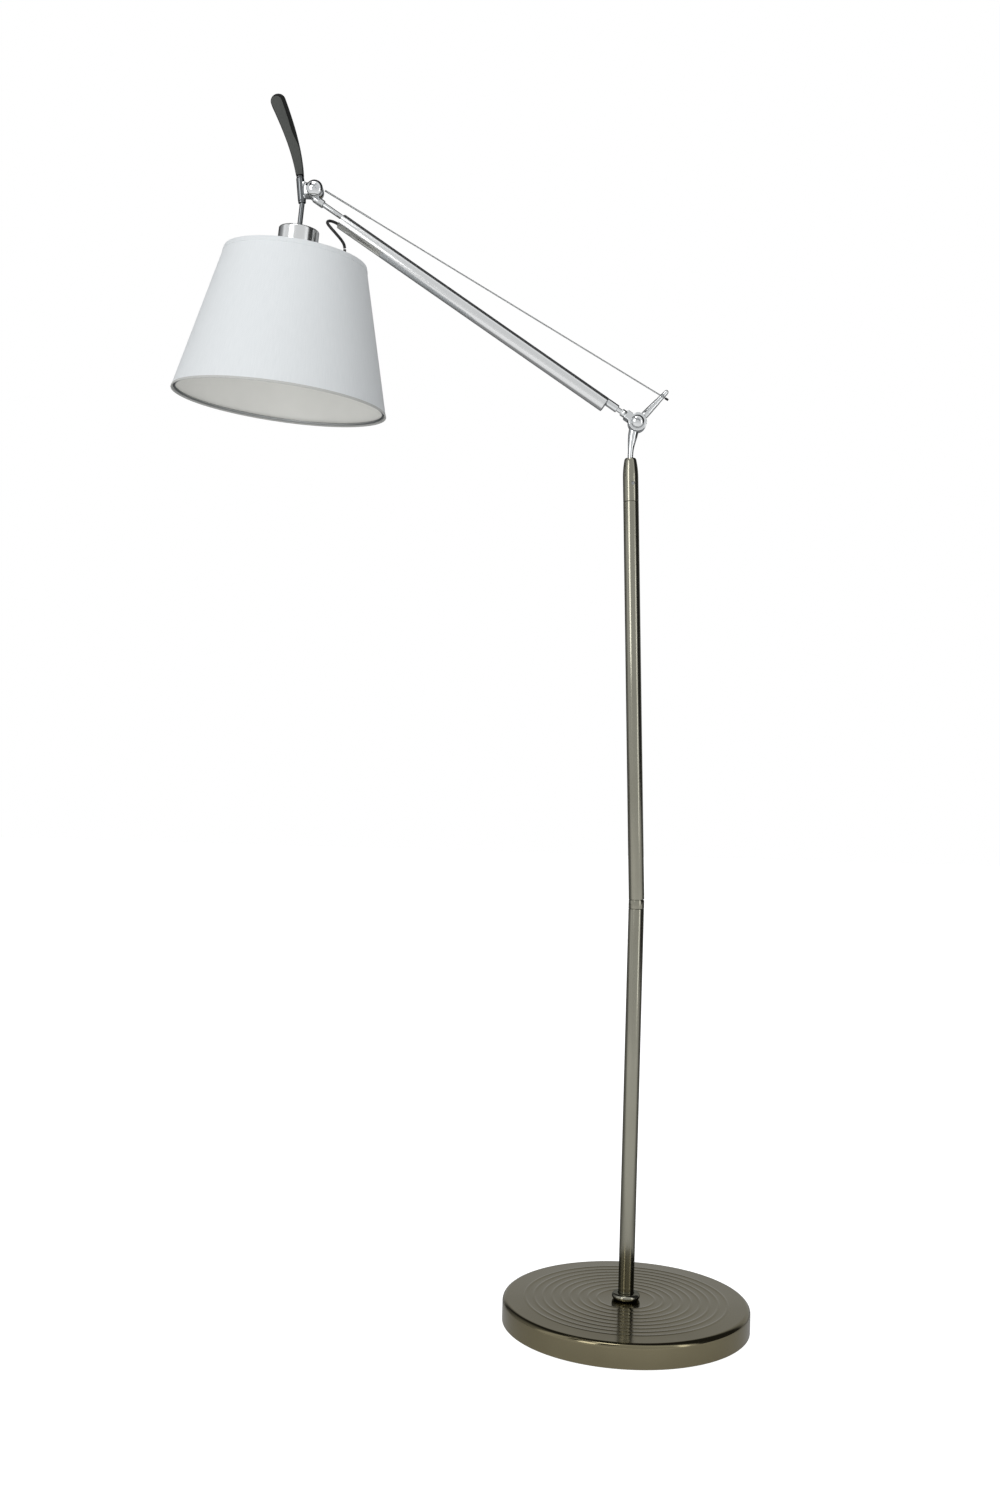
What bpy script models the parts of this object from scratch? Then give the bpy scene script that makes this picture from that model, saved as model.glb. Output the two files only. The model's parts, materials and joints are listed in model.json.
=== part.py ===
"""Adjustable arm floor lamp: weighted base, two-piece pole, sprung arm and a tilting shaded head.

Metres, +Z up.  The origin is the centre of the base's underside, on the floor.  The arm reaches
towards -X in the XZ plane.  Each moving group is parented to an empty on its joint's axis:
pole_head turns on the upper pole, the arm tilts on the lower knuckle, the tension wire swings on
the lever's cross pin, and the head tilts on the upper knuckle and turns about its stem.
"""
import math

import bmesh
import bpy
from mathutils import Matrix, Vector

# ---------------------------------------------------------------- driving dimensions
TOUCH_GAP = 0.0003            # gap kept between pieces that touch
SLIDE_GAP = 0.0004            # gap round a pin or rod in its hole

# base
BASE_RADIUS = 0.150
BASE_HEIGHT = 0.0308
BASE_EDGE_RADIUS = 0.0058
BASE_SHEET = 0.0018
RING_COUNT = 9
RING_PITCH = 0.0110
RING_OUTER_RADIUS = 0.1225
RING_WIDTH = 0.0048
RING_HEIGHT = 0.0011
PAD_THICKNESS = 0.0030
PAD_INSET = 0.0040
SKIRT_CLEARANCE = 0.0012      # base edge above the floor
WEIGHT_THICKNESS = 0.0170
WEIGHT_INSET = 0.0060
WEIGHT_WELL_RADIUS = 0.0180
WEIGHT_WELL_DEPTH = 0.0090
GLAND_RADIUS = 0.0052
GLAND_HEIGHT = 0.0125         # height of the lead's outlet above the floor

# pole
TUBE_RADIUS = 0.0095
TUBE_WALL = 0.0012
FOOT_COLLAR_RADIUS = 0.0170
FOOT_COLLAR_HEIGHT = 0.0080
NIPPLE_RADIUS = 0.0050
NIPPLE_BORE = 0.0034
NUT_ACROSS_FLATS = 0.0170
NUT_THICKNESS = 0.0050
WASHER_RADIUS = 0.0130
WASHER_THICKNESS = 0.0014
PLUG_LENGTH = 0.0220
COLLAR_BOTTOM = 0.5040        # where the lower tube ends, above the floor
COLLAR_HEIGHT = 0.0110
POLE_LEAN = math.radians(2.35)  # the upper pole leans towards the arm; 0 makes the pole straight
SPIGOT_LENGTH = 0.0300
SPIGOT_BORE = 0.0050
UPPER_TUBE_LENGTH = 0.4880
FERRULE_LENGTH = 0.0540
FERRULE_TOP_RADIUS = 0.0070
FERRULE_STRAIGHT = 0.0300
FERRULE_BORE = 0.0039
SET_SCREW_RADIUS = 0.0020
SET_SCREW_DROP = 0.0320       # below the ferrule's top
SET_SCREW_TURN = math.radians(13.0)

# lower knuckle, on the pole head
NECK_FOOT_RADIUS = 0.0034
NECK_TOP_RADIUS = 0.0061
NECK_SHAFT_LENGTH = 0.0300
KNUCKLE_OFFSET = 0.0090       # arm pivot in front of the pole's axis
KNUCKLE_RISE = 0.0440         # arm pivot above the ferrule's top
EYE_RADIUS = 0.0106
EYE_HALF_WIDTH = 0.0040
SHOULDER = 0.0002             # the neck is this much thinner than the eye, each side
PIVOT_RADIUS = 0.0030
LOWER_CHEEK_RADIUS = 0.0114
LOWER_CHEEK = 0.0038
LOWER_SCREW_RADIUS = 0.0082
LOWER_SCREW_HEIGHT = 0.0050
LEVER_ANGLE = math.radians(48.0)
LEVER_LENGTH = 0.0550         # arm pivot to lever tip
LEVER_PIN_DISTANCE = 0.0450   # arm pivot to the wire's cross pin
LEVER_ROOT_WIDTH = 0.0094
LEVER_TIP_WIDTH = 0.0056
LEVER_THICKNESS = 0.0072
LEVER_SLOT = 0.0033
LEVER_SPIGOT_RADIUS = 0.0022
CROSS_PIN_RADIUS = 0.0018

# arm
ARM_ANGLE = math.radians(33.4)
ARM_LENGTH = 0.4910           # along the arm, between its two pivots
ARM_RISE = 0.0080             # upper pivot above the line of the rods
ARM_TUBE_START = 0.0455       # along the arm, from the lower pivot
UPPER_ROD_SHOWN = 0.0480       # arm tube's upper end to the upper pivot, along the arm
ARM_TUBE_END = ARM_LENGTH - UPPER_ROD_SHOWN
ARM_TUBE_RADIUS = 0.0094
ARM_TUBE_WALL = 0.0011
ARM_TUBE_DROP = 0.0045        # tube axis below the line of the rods
ROD_RADIUS = 0.0032
LOWER_ROD_RADIUS = 0.0029
PLUG_CLEARANCE = 0.00015      # round a plug pressed into the arm tube
ROD_BORE = 0.0012
NOSE_RADIUS = 0.0049
NOSE_LENGTH = 0.0155
PLUG_DEPTH = 0.0140
SPRING_RADIUS = 0.0032
SPRING_WIRE = 0.0007
SPRING_TURNS = 12
SPRING_LENGTH = 0.1900

# wire
WIRE_RADIUS = 0.0008
SLEEVE_BORE = 0.0010
SLEEVE_RADIUS = 0.0013
SLEEVE_NEAR = 0.0100          # sleeve's ends, back from the pulley along the wire
SLEEVE_FAR = 0.0760
WIRE_END = 0.0420             # where the wire ends inside the sleeve
WIRE_STOP_RADIUS = 0.0014
WIRE_STOP_START = 0.0040
WIRE_STOP_LENGTH = 0.0045

# upper knuckle
PULLEY_GROOVE = 0.0058
PULLEY_RIM = 0.0064
PULLEY_HALF_WIDTH = 0.0016
WIRE_LINE_RADIUS = 0.0068     # wire's centre line, from the upper pivot
UPPER_CHEEK_RADIUS = 0.0102
UPPER_SLOT_HALF = 0.0023
UPPER_CHEEK = 0.0040
CLAMP_PLATE = 0.0027
CLAMP_PLATE_RADIUS = 0.0099
DOME_RADIUS = 0.0104
DOME_HEIGHT = 0.0062
CAP_NUT_RADIUS = 0.0085

# head
STEM_RADIUS = 0.0031
STEM_BACKSET = 0.0176         # upper pivot to the stem's axis
STEM_LEAN = math.radians(6.3)
STEM_BEND_DROP = 0.0162       # upper pivot down to the stem's bend
CLAMP_BLOCK_HALF = 0.0044
CLAMP_BOTTOM = 0.0030         # along the stem, from its bend
CLAMP_TOP = 0.0320
STEM_COLLAR_RADIUS = 0.0048
STEM_COLLAR_LENGTH = 0.0024
SHADE_TILT_X = math.radians(5.16)
SHADE_TILT_Y = math.radians(2.77)
STEM_DROP = 0.0317            # bend down to the top of the lampholder cap
CAP_RADIUS = 0.0250
CAP_HEIGHT = 0.0460
CAP_WALL = 0.0014
CAP_EDGE_RADIUS = 0.0022
HOLDER_RADIUS = 0.0180
HOLDER_LENGTH = 0.0560
HOLDER_TOP = 0.0080           # below the cap's top
BULB_RADIUS = 0.0290
BULB_NECK_RADIUS = 0.0130
BULB_LENGTH = 0.0920
BULB_WALL = 0.0012
SHADE_TOP = 0.0362            # below the cap's top
SHADE_LENGTH = 0.1797
SHADE_TOP_RADIUS = 0.0881
SHADE_BOTTOM_RADIUS = 0.1329
SHADE_WALL = 0.0011
SHADE_RING_RADIUS = 0.0015
SPOKE_RADIUS = 0.0014
SPOKE_COUNT = 3
SPIDER_DROP = 0.0140          # hub below the shade's top edge
HANDLE_START = 0.0345         # along the stem, from its bend
HANDLE_HALF_ROOT = 0.0045
HANDLE_HALF_TIP = 0.0094
HANDLE_THICKNESS = 0.0100
HANDLE_FACE = 0.0014
HANDLE_RIM = 0.0044
HANDLE_SPINE = ((0.0, 0.0), (-0.0010, 0.0380), (-0.0190, 0.0935))

# flex between the arm and the lampholder, its turns measured from the upper pivot
FLEX_RADIUS = 0.0018
FLEX_DROP = 0.0099            # flex below the line of the rods, where it leaves the arm
FLEX_UPPER = (
    (0.0410, 0.0000, -0.0483), (0.0371, 0.0000, -0.0457), (0.0331, 0.0000, -0.0431),
    (0.0292, 0.0000, -0.0404), (0.0251, -0.0008, -0.0385), (0.0211, -0.0033, -0.0381),
    (0.0184, -0.0068, -0.0394), (0.0175, -0.0105, -0.0422), (0.0186, -0.0135, -0.0456),
    (0.0211, -0.0153, -0.0491), (0.0241, -0.0163, -0.0527), (0.0273, -0.0166, -0.0561),
    (0.0305, -0.0165, -0.0596), (0.0337, -0.0160, -0.0630), (0.0367, -0.0153, -0.0666),
    (0.0391, -0.0144, -0.0705), (0.0402, -0.0135, -0.0750),
)
FLEX_LOWER = (
    (0.0402, -0.0133, -0.0762), (0.0396, -0.0120, -0.0833), (0.0375, -0.0102, -0.0905),
    (0.0330, -0.0080, -0.0975), (0.0260, -0.0055, -0.1031), (0.0177, -0.0030, -0.1066),
    (0.0090, -0.0005, -0.1081), (0.0010, 0.0016, -0.1081),
)

# how finely round pieces are cut
FINE, ROUND, SMALL = 36, 18, 10

# ---------------------------------------------------------------- scene and collections
for old in list(bpy.data.objects):
    bpy.data.objects.remove(old, do_unlink=True)

parts = bpy.data.collections.new("adjustable_arm_floor_lamp")
tools = bpy.data.collections.new("cutters")
for group in (parts, tools):
    bpy.context.scene.collection.children.link(group)


def material(name, colour, roughness, metallic=0.0):
    """A plain Principled BSDF for one kind of surface."""
    made = bpy.data.materials.new(name)
    made.use_nodes = True
    shader = made.node_tree.nodes["Principled BSDF"]
    shader.inputs["Base Color"].default_value = (*colour, 1.0)
    shader.inputs["Roughness"].default_value = roughness
    shader.inputs["Metallic"].default_value = metallic
    return made


BRUSHED = material("brushed_nickel", (0.24, 0.23, 0.19), 0.32, 1.0)
CHROME = material("chrome", (0.72, 0.73, 0.75), 0.08, 1.0)
SATIN = material("satin_aluminium", (0.70, 0.71, 0.72), 0.35, 1.0)
STEEL = material("zinc_steel", (0.45, 0.46, 0.47), 0.40, 1.0)
IRON = material("cast_iron", (0.05, 0.05, 0.05), 0.80, 0.6)
BLACK = material("black_plastic", (0.012, 0.012, 0.012), 0.45)
GREY = material("grey_plastic", (0.075, 0.080, 0.075), 0.50)
FABRIC = material("white_fabric", (0.72, 0.75, 0.77), 0.90)
RUBBER = material("black_rubber", (0.02, 0.02, 0.02), 0.80)
BRASS = material("brass", (0.60, 0.45, 0.16), 0.30, 1.0)
OPAL = material("opal_glass", (0.90, 0.90, 0.88), 0.30)


# ---------------------------------------------------------------- making pieces
def tilt(angle):
    """A turn about +Y: positive leans +Z towards +X."""
    return Matrix.Rotation(angle, 4, "Y")


def empty(name, matrix, parent=None):
    """An empty at a joint; matrix is in the parent's frame."""
    made = bpy.data.objects.new(name, None)
    parts.objects.link(made)
    made.empty_display_size = 0.02
    made.parent = parent
    made.matrix_basis = matrix
    return made


def add(name, data, finish, parent=None, matrix=None, cutter=False):
    """Put a mesh or curve in the scene as one named piece, or as a hidden cutter."""
    made = bpy.data.objects.new(name, data)
    (tools if cutter else parts).objects.link(made)
    made.parent = parent
    made.matrix_basis = matrix if matrix is not None else Matrix()
    if cutter:
        made.hide_render = True
        made.display_type = "WIRE"
    else:
        data.materials.append(finish)
    return made


def smooth(mesh, angle=35.0):
    mesh.shade_smooth()
    mesh.set_sharp_from_angle(angle=math.radians(angle))


def turned(name, profile, finish, parent=None, matrix=None, steps=ROUND, ring=False, cutter=False):
    """A turned piece: (radius, height) points run down the outside, and back up inside if ring."""
    mesh = bpy.data.meshes.new(name)
    count = len(profile)
    edges = [(i, i + 1) for i in range(count - 1)]
    if ring:
        edges.append((count - 1, 0))
    mesh.from_pydata([(radius, 0.0, height) for radius, height in profile], edges, [])
    made = add(name, mesh, finish, parent, matrix, cutter)
    screw = made.modifiers.new("turn", "SCREW")
    screw.steps = steps
    screw.render_steps = steps
    screw.use_merge_vertices = True
    screw.merge_threshold = 0.00001
    screw.use_smooth_shade = False
    return made


def disc(name, radius, bottom, top, finish, parent=None, matrix=None, steps=ROUND, cutter=False,
         chamfer=0.0):
    """A solid round piece from bottom to top along its own Z."""
    profile = [(0.0, top), (radius - chamfer, top)]
    if chamfer:
        profile.append((radius, top - chamfer))
        profile.append((radius, bottom + chamfer))
    else:
        profile.append((radius, bottom))
    if chamfer:
        profile.append((radius - chamfer, bottom))
    profile.append((0.0, bottom))
    if not chamfer:
        profile[1] = (radius, top)
    return turned(name, profile, finish, parent, matrix, steps, cutter=cutter)


def sleeve(name, outer, bore, bottom, top, finish, parent=None, matrix=None, steps=ROUND):
    """A tube or washer from bottom to top along its own Z."""
    profile = [(outer, top), (outer, bottom), (bore, bottom), (bore, top)]
    return turned(name, profile, finish, parent, matrix, steps, ring=True)


def block(name, low, high, finish=None, parent=None, matrix=None, cutter=False, round_edge=0.0):
    """A box between two corners."""
    mesh = bpy.data.meshes.new(name)
    work = bmesh.new()
    bmesh.ops.create_cube(work, size=1.0)
    low, high = Vector(low), Vector(high)
    for vertex in work.verts:
        for axis in range(3):
            vertex.co[axis] = high[axis] if vertex.co[axis] > 0 else low[axis]
    work.to_mesh(mesh)
    work.free()
    made = add(name, mesh, finish, parent, matrix, cutter)
    if round_edge:
        rounded(made, round_edge)
    return made


def rounded(piece, width, segments=2, angle=40.0):
    bevel = piece.modifiers.new("edges", "BEVEL")
    bevel.width = width
    bevel.segments = segments
    bevel.limit_method = "ANGLE"
    bevel.angle_limit = math.radians(angle)
    return piece


def from_curve(curve_object):
    """Turn a bevelled or flat curve into a welded mesh piece in the same place."""
    depsgraph = bpy.context.evaluated_depsgraph_get()
    mesh = bpy.data.meshes.new_from_object(curve_object.evaluated_get(depsgraph))
    work = bmesh.new()
    work.from_mesh(mesh)
    bmesh.ops.remove_doubles(work, verts=work.verts, dist=0.000005)
    bmesh.ops.recalc_face_normals(work, faces=work.faces)
    work.to_mesh(mesh)
    work.free()
    name = curve_object.name
    curve_object.name = name + "_curve"
    made = bpy.data.objects.new(name, mesh)
    for group in curve_object.users_collection:
        group.objects.link(made)
    made.parent = curve_object.parent
    made.matrix_basis = curve_object.matrix_basis
    made.hide_render = curve_object.hide_render
    made.display_type = curve_object.display_type
    bpy.data.objects.remove(curve_object, do_unlink=True)
    return made


def rod(name, points, radius, finish, parent=None, matrix=None, sides=12, radii=None, closed=False):
    """A round bar along points; radii scales the radius point by point."""
    curve = bpy.data.curves.new(name, "CURVE")
    curve.dimensions = "3D"
    curve.bevel_depth = radius
    curve.bevel_resolution = sides // 2 - 2
    curve.use_fill_caps = not closed
    spline = curve.splines.new("POLY")
    spline.points.add(len(points) - 1)
    for index, place in enumerate(points):
        spline.points[index].co = (*place, 1.0)
        if radii:
            spline.points[index].radius = radii[index]
    spline.use_cyclic_u = closed
    return from_curve(add(name, curve, finish, parent, matrix))


def plate(name, outline, thickness, finish=None, parent=None, matrix=None, cutter=False):
    """A flat outline in the XZ plane, thickness centred on Y."""
    curve = bpy.data.curves.new(name, "CURVE")
    curve.dimensions = "2D"
    curve.fill_mode = "BOTH"
    curve.extrude = thickness / 2.0
    spline = curve.splines.new("POLY")
    spline.points.add(len(outline) - 1)
    for index, (across, up) in enumerate(outline):
        spline.points[index].co = (across, up, 0.0, 1.0)
    spline.use_cyclic_u = True
    upright = Matrix.Rotation(math.radians(90.0), 4, "X")
    placed = (matrix if matrix is not None else Matrix()) @ upright
    made = add(name, curve, finish, parent, placed, cutter)
    return from_curve(made)


def combine(piece, tool, operation):
    change = piece.modifiers.new(operation.lower() + "_" + tool.name, "BOOLEAN")
    change.operation = operation
    change.solver = "EXACT"
    change.object = tool
    return piece


def cut(piece, tool):
    return combine(piece, tool, "DIFFERENCE")


def join(piece, tool):
    """Fuse a helper shape into a piece; the helper becomes a hidden tool."""
    for group in list(tool.users_collection):
        group.objects.unlink(tool)
    tools.objects.link(tool)
    tool.hide_render = True
    tool.display_type = "WIRE"
    return combine(piece, tool, "UNION")


def at(x=0.0, y=0.0, z=0.0):
    return Matrix.Translation((x, y, z))


ALONG_Y = Matrix.Rotation(math.radians(-90.0), 4, "X")   # own Z runs along +Y
ALONG_X = Matrix.Rotation(math.radians(90.0), 4, "Y")    # own Z runs along +X


def arc(centre, radius, start, end, count):
    """Points on an arc, (across, up), angles in degrees from +across."""
    found = []
    for index in range(count + 1):
        angle = math.radians(start + (end - start) * index / count)
        found.append((centre[0] + radius * math.cos(angle), centre[1] + radius * math.sin(angle)))
    return found


def hex_nut(name, across_flats, bore, bottom, top, parent=None):
    """A six-sided nut with a round hole, along its own Z."""
    nut = disc(name, across_flats / 2 / math.cos(math.radians(30.0)), bottom, top, STEEL, parent, steps=6)
    return cut(nut, disc(name + "_hole", bore, bottom - 0.01, top + 0.01, None, parent, None, SMALL,
                         cutter=True))


# ---------------------------------------------------------------- base
def base_top_profile():
    """The raised rings, from the centre outwards, as (radius, height)."""
    top = BASE_HEIGHT - RING_HEIGHT
    found = []
    for index in range(RING_COUNT):
        middle = RING_OUTER_RADIUS - RING_PITCH * (RING_COUNT - 1 - index)
        found.append((middle - RING_WIDTH / 2, top))
        found.append((middle, top + RING_HEIGHT))
        found.append((middle + RING_WIDTH / 2, top))
    return found


def make_base():
    pad_radius = BASE_RADIUS - BASE_SHEET - PAD_INSET
    disc("floor_pad", pad_radius, 0.0, PAD_THICKNESS, RUBBER, steps=FINE)

    top = BASE_HEIGHT - RING_HEIGHT
    hole = NIPPLE_RADIUS + SLIDE_GAP
    edge = arc((BASE_RADIUS - BASE_EDGE_RADIUS, top - BASE_EDGE_RADIUS), BASE_EDGE_RADIUS, 90, 0, 4)
    inner_edge = arc((BASE_RADIUS - BASE_EDGE_RADIUS, top - BASE_EDGE_RADIUS),
                     BASE_EDGE_RADIUS - BASE_SHEET, 0, 90, 2)
    profile = [(hole, top)] + base_top_profile() + edge
    profile += [(BASE_RADIUS, SKIRT_CLEARANCE), (BASE_RADIUS - BASE_SHEET, SKIRT_CLEARANCE)]
    profile += inner_edge + [(hole, top - BASE_SHEET)]
    shell = turned("base_shell", profile, BRUSHED, steps=FINE, ring=True)
    outlet = disc("outlet_cutter", GLAND_RADIUS, BASE_RADIUS - 0.02, BASE_RADIUS + 0.02, None,
                  matrix=at(0, 0, GLAND_HEIGHT) @ ALONG_Y, steps=SMALL, cutter=True)
    cut(shell, outlet)

    weight_top = top - BASE_SHEET - TOUCH_GAP
    weight_bottom = weight_top - WEIGHT_THICKNESS
    weight_radius = BASE_RADIUS - BASE_SHEET - WEIGHT_INSET
    well = weight_bottom + WEIGHT_WELL_DEPTH
    weight = turned("base_weight", [
        (hole, weight_top), (weight_radius, weight_top), (weight_radius, weight_bottom),
        (WEIGHT_WELL_RADIUS, weight_bottom), (WEIGHT_WELL_RADIUS, well), (hole, well),
    ], IRON, steps=FINE, ring=True)
    channel = block("lead_channel_cutter", (-GLAND_RADIUS, 0.0, weight_bottom - 0.002),
                    (GLAND_RADIUS, BASE_RADIUS, well), cutter=True)
    cut(weight, channel)

    lip = GLAND_RADIUS + 0.0018
    neck = GLAND_RADIUS - TOUCH_GAP
    bore = GLAND_RADIUS - 0.0022
    outer = BASE_RADIUS + TOUCH_GAP
    inner = BASE_RADIUS - BASE_SHEET - 0.0008
    turned("lead_gland", [
        (bore, outer + 0.0022), (neck, outer + 0.0022), (lip, outer + 0.0010), (lip, outer + 0.0002),
        (neck, outer + 0.0002), (neck, inner), (lip, inner), (lip, inner - 0.0012),
        (neck, inner - 0.0020), (bore, inner - 0.0020),
    ], RUBBER, matrix=at(0, 0, GLAND_HEIGHT) @ ALONG_Y, steps=SMALL, ring=True)

    washer_top = well - TOUCH_GAP
    washer_bottom = washer_top - WASHER_THICKNESS
    sleeve("base_washer", WASHER_RADIUS, hole, washer_bottom, washer_top, STEEL, steps=ROUND)
    nut_top = washer_bottom - TOUCH_GAP
    hex_nut("base_nut", NUT_ACROSS_FLATS, hole, nut_top - NUT_THICKNESS, nut_top)
    sleeve("foot_nipple", NIPPLE_RADIUS, NIPPLE_BORE, nut_top - NUT_THICKNESS, top + PLUG_LENGTH,
           STEEL, steps=SMALL)

    collar_bottom = top + TOUCH_GAP
    collar_bore = TUBE_RADIUS + SLIDE_GAP
    half = FOOT_COLLAR_HEIGHT / 2
    bead = arc((FOOT_COLLAR_RADIUS - half, collar_bottom + half), half, 90, -90, 8)
    turned("foot_collar", [(collar_bore, collar_bottom + FOOT_COLLAR_HEIGHT)] + bead
           + [(collar_bore, collar_bottom)], BRUSHED, steps=ROUND, ring=True)


# ---------------------------------------------------------------- pole
def make_lower_pole():
    floor = BASE_HEIGHT - RING_HEIGHT + TOUCH_GAP
    bore = TUBE_RADIUS - TUBE_WALL
    sleeve("lower_tube", TUBE_RADIUS, bore, floor, COLLAR_BOTTOM - TOUCH_GAP, BRUSHED)
    sleeve("lower_tube_plug", bore - TOUCH_GAP, NIPPLE_RADIUS + SLIDE_GAP, floor, floor + PLUG_LENGTH,
           STEEL, steps=SMALL)


def make_coupler():
    """A collar as wide as the tubes, with a spigot down and a leaning spigot up."""
    spigot = TUBE_RADIUS - TUBE_WALL - TOUCH_GAP
    top = COLLAR_BOTTOM + COLLAR_HEIGHT
    lift = TUBE_RADIUS * math.tan(POLE_LEAN)
    coupler = turned("pole_coupler", [
        (SPIGOT_BORE, top - lift), (TUBE_RADIUS, top - lift), (TUBE_RADIUS, COLLAR_BOTTOM),
        (spigot, COLLAR_BOTTOM), (spigot, COLLAR_BOTTOM - SPIGOT_LENGTH),
        (SPIGOT_BORE, COLLAR_BOTTOM - SPIGOT_LENGTH),
    ], BRUSHED, ring=True)
    upper = sleeve("upper_spigot", spigot, SPIGOT_BORE, -COLLAR_HEIGHT / 2, SPIGOT_LENGTH, BRUSHED,
                   matrix=at(0, 0, top) @ tilt(-POLE_LEAN))
    return join(coupler, upper)


def make_upper_pole(frame):
    """Upper tube and ferrule, along the frame's own Z from the coupling."""
    bore = TUBE_RADIUS - TUBE_WALL
    sleeve("upper_tube", TUBE_RADIUS, bore, TOUCH_GAP, UPPER_TUBE_LENGTH, BRUSHED, frame)

    foot = UPPER_TUBE_LENGTH + TOUCH_GAP
    top = UPPER_TUBE_LENGTH + FERRULE_LENGTH
    spigot = bore - TOUCH_GAP
    ogive = []
    for index in range(7):
        share = index / 6.0
        narrowing = (TUBE_RADIUS - FERRULE_TOP_RADIUS) * (1.0 - share) ** 2
        height = top - (FERRULE_LENGTH - FERRULE_STRAIGHT) * share
        ogive.append((TUBE_RADIUS - narrowing, height))
    profile = [(FERRULE_BORE, top)] + ogive + [
        (TUBE_RADIUS, foot), (spigot, foot), (spigot, foot - PLUG_LENGTH),
        (FERRULE_BORE, foot - PLUG_LENGTH),
    ]
    ferrule = turned("pole_ferrule", profile, BRUSHED, frame, ring=True)
    facing = Matrix.Rotation(SET_SCREW_TURN, 4, "Z")
    place = facing @ at(0, 0, top - SET_SCREW_DROP) @ ALONG_Y
    hole = disc("set_screw_cutter", SET_SCREW_RADIUS + TOUCH_GAP, -TUBE_RADIUS - 0.002, -FERRULE_BORE,
                None, frame, place, SMALL, cutter=True)
    cut(ferrule, hole)
    screw = disc("set_screw", SET_SCREW_RADIUS, -TUBE_RADIUS + 0.0006, -FERRULE_BORE - 0.0008, STEEL,
                 frame, place, 12, chamfer=0.0004)
    socket = disc("set_screw_socket", 0.0009, -TUBE_RADIUS - 0.001, -TUBE_RADIUS + 0.0022, None, frame,
                  place, 6, cutter=True)
    cut(screw, socket)


# ---------------------------------------------------------------- pole head: neck, eye, lever
def make_pole_head(frame, knuckle):
    """frame is the upper pole's; knuckle is an empty on the arm's pivot, square to the pole."""
    top = UPPER_TUBE_LENGTH + FERRULE_LENGTH
    rise = KNUCKLE_RISE
    neck_points = [(0, 0, top - NECK_SHAFT_LENGTH), (0, 0, top + 0.0005), (0, 0, top + 0.002),
                   (KNUCKLE_OFFSET * 0.12, 0, top + rise * 0.35),
                   (KNUCKLE_OFFSET * 0.42, 0, top + rise * 0.72),
                   (KNUCKLE_OFFSET * 0.58, 0, top + rise * 0.87)]
    swell = NECK_TOP_RADIUS / NECK_FOOT_RADIUS
    radii = [1.0, 1.0, 1.0, 1.0 + (swell - 1.0) * 0.42, swell, swell]
    neck = rod("neck_knuckle", neck_points, NECK_FOOT_RADIUS, CHROME, frame, sides=16, radii=radii)
    pivot = at(KNUCKLE_OFFSET, 0, top + rise)
    cheek_room_start = EYE_HALF_WIDTH - SHOULDER
    for side in (-1, 1):
        near, far = sorted((side * cheek_room_start, side * 0.02))
        cheek_room = disc("cheek_room_%d" % (side + 1), LOWER_CHEEK_RADIUS + 0.0006, near, far, None,
                          frame, pivot @ ALONG_Y, ROUND, cutter=True)
        cut(neck, cheek_room)
    eye = disc("eye_boss", EYE_RADIUS, -EYE_HALF_WIDTH, EYE_HALF_WIDTH, CHROME, frame,
               pivot @ ALONG_Y, ROUND, chamfer=0.0006)
    join(neck, eye)
    bore = disc("eye_bore", PIVOT_RADIUS + SLIDE_GAP, -0.02, 0.02, None, frame, pivot @ ALONG_Y, SMALL,
                cutter=True)
    cut(neck, bore)
    socket = disc("lever_socket", LEVER_SPIGOT_RADIUS + TOUCH_GAP, PIVOT_RADIUS + 0.0026,
                  EYE_RADIUS + 0.004, None, knuckle, tilt(math.radians(90.0) - LEVER_ANGLE), SMALL,
                  cutter=True)
    cut(neck, socket)
    make_lever(knuckle)


def make_lever(knuckle):
    """A tapering bar, its tip split by a slot for the wire, with a spigot into the eye."""
    start = EYE_RADIUS + TOUCH_GAP
    root, end = LEVER_ROOT_WIDTH / 2, LEVER_TIP_WIDTH / 2
    placed = tilt(math.radians(90.0) - LEVER_ANGLE)
    tip = arc((0.0, LEVER_LENGTH - end), end, 0, 180, 8)
    lever = plate("tension_lever", [(-root * 0.7, start), (root * 0.7, start), (root, start + 0.003)]
                  + tip + [(-root, start + 0.003)], LEVER_THICKNESS, CHROME, knuckle, placed)
    slot_floor = LEVER_PIN_DISTANCE - 0.0100
    slot = block("lever_slot", (-0.02, -LEVER_SLOT / 2, slot_floor), (0.02, LEVER_SLOT / 2, 0.08),
                 cutter=True, parent=knuckle, matrix=placed)
    cut(lever, slot)
    hole = disc("cross_pin_hole", CROSS_PIN_RADIUS + SLIDE_GAP, -0.01, 0.01, None, knuckle,
                placed @ at(0, 0, LEVER_PIN_DISTANCE) @ ALONG_Y, SMALL, cutter=True)
    cut(lever, hole)
    spigot = disc("lever_spigot", LEVER_SPIGOT_RADIUS, PIVOT_RADIUS + 0.0030, start + 0.002, CHROME,
                  knuckle, placed, SMALL)
    join(lever, spigot)


# ---------------------------------------------------------------- arm
def pivot_screw(name, head_radius, head_height, inner_face, far_face, parent, matrix):
    """A pivot screw along Y: its domed head at -Y, its shank through to the nut."""
    profile = [(0.0, far_face), (PIVOT_RADIUS, far_face), (PIVOT_RADIUS, -inner_face)]
    for step in range(7):
        turn = math.pi / 2 * step / 6
        profile.append((head_radius * math.cos(turn), -inner_face - head_height * math.sin(turn)))
    profile[-1] = (0.0, -inner_face - head_height)
    return turned(name, profile, CHROME, parent, matrix @ ALONG_Y, ROUND)


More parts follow.
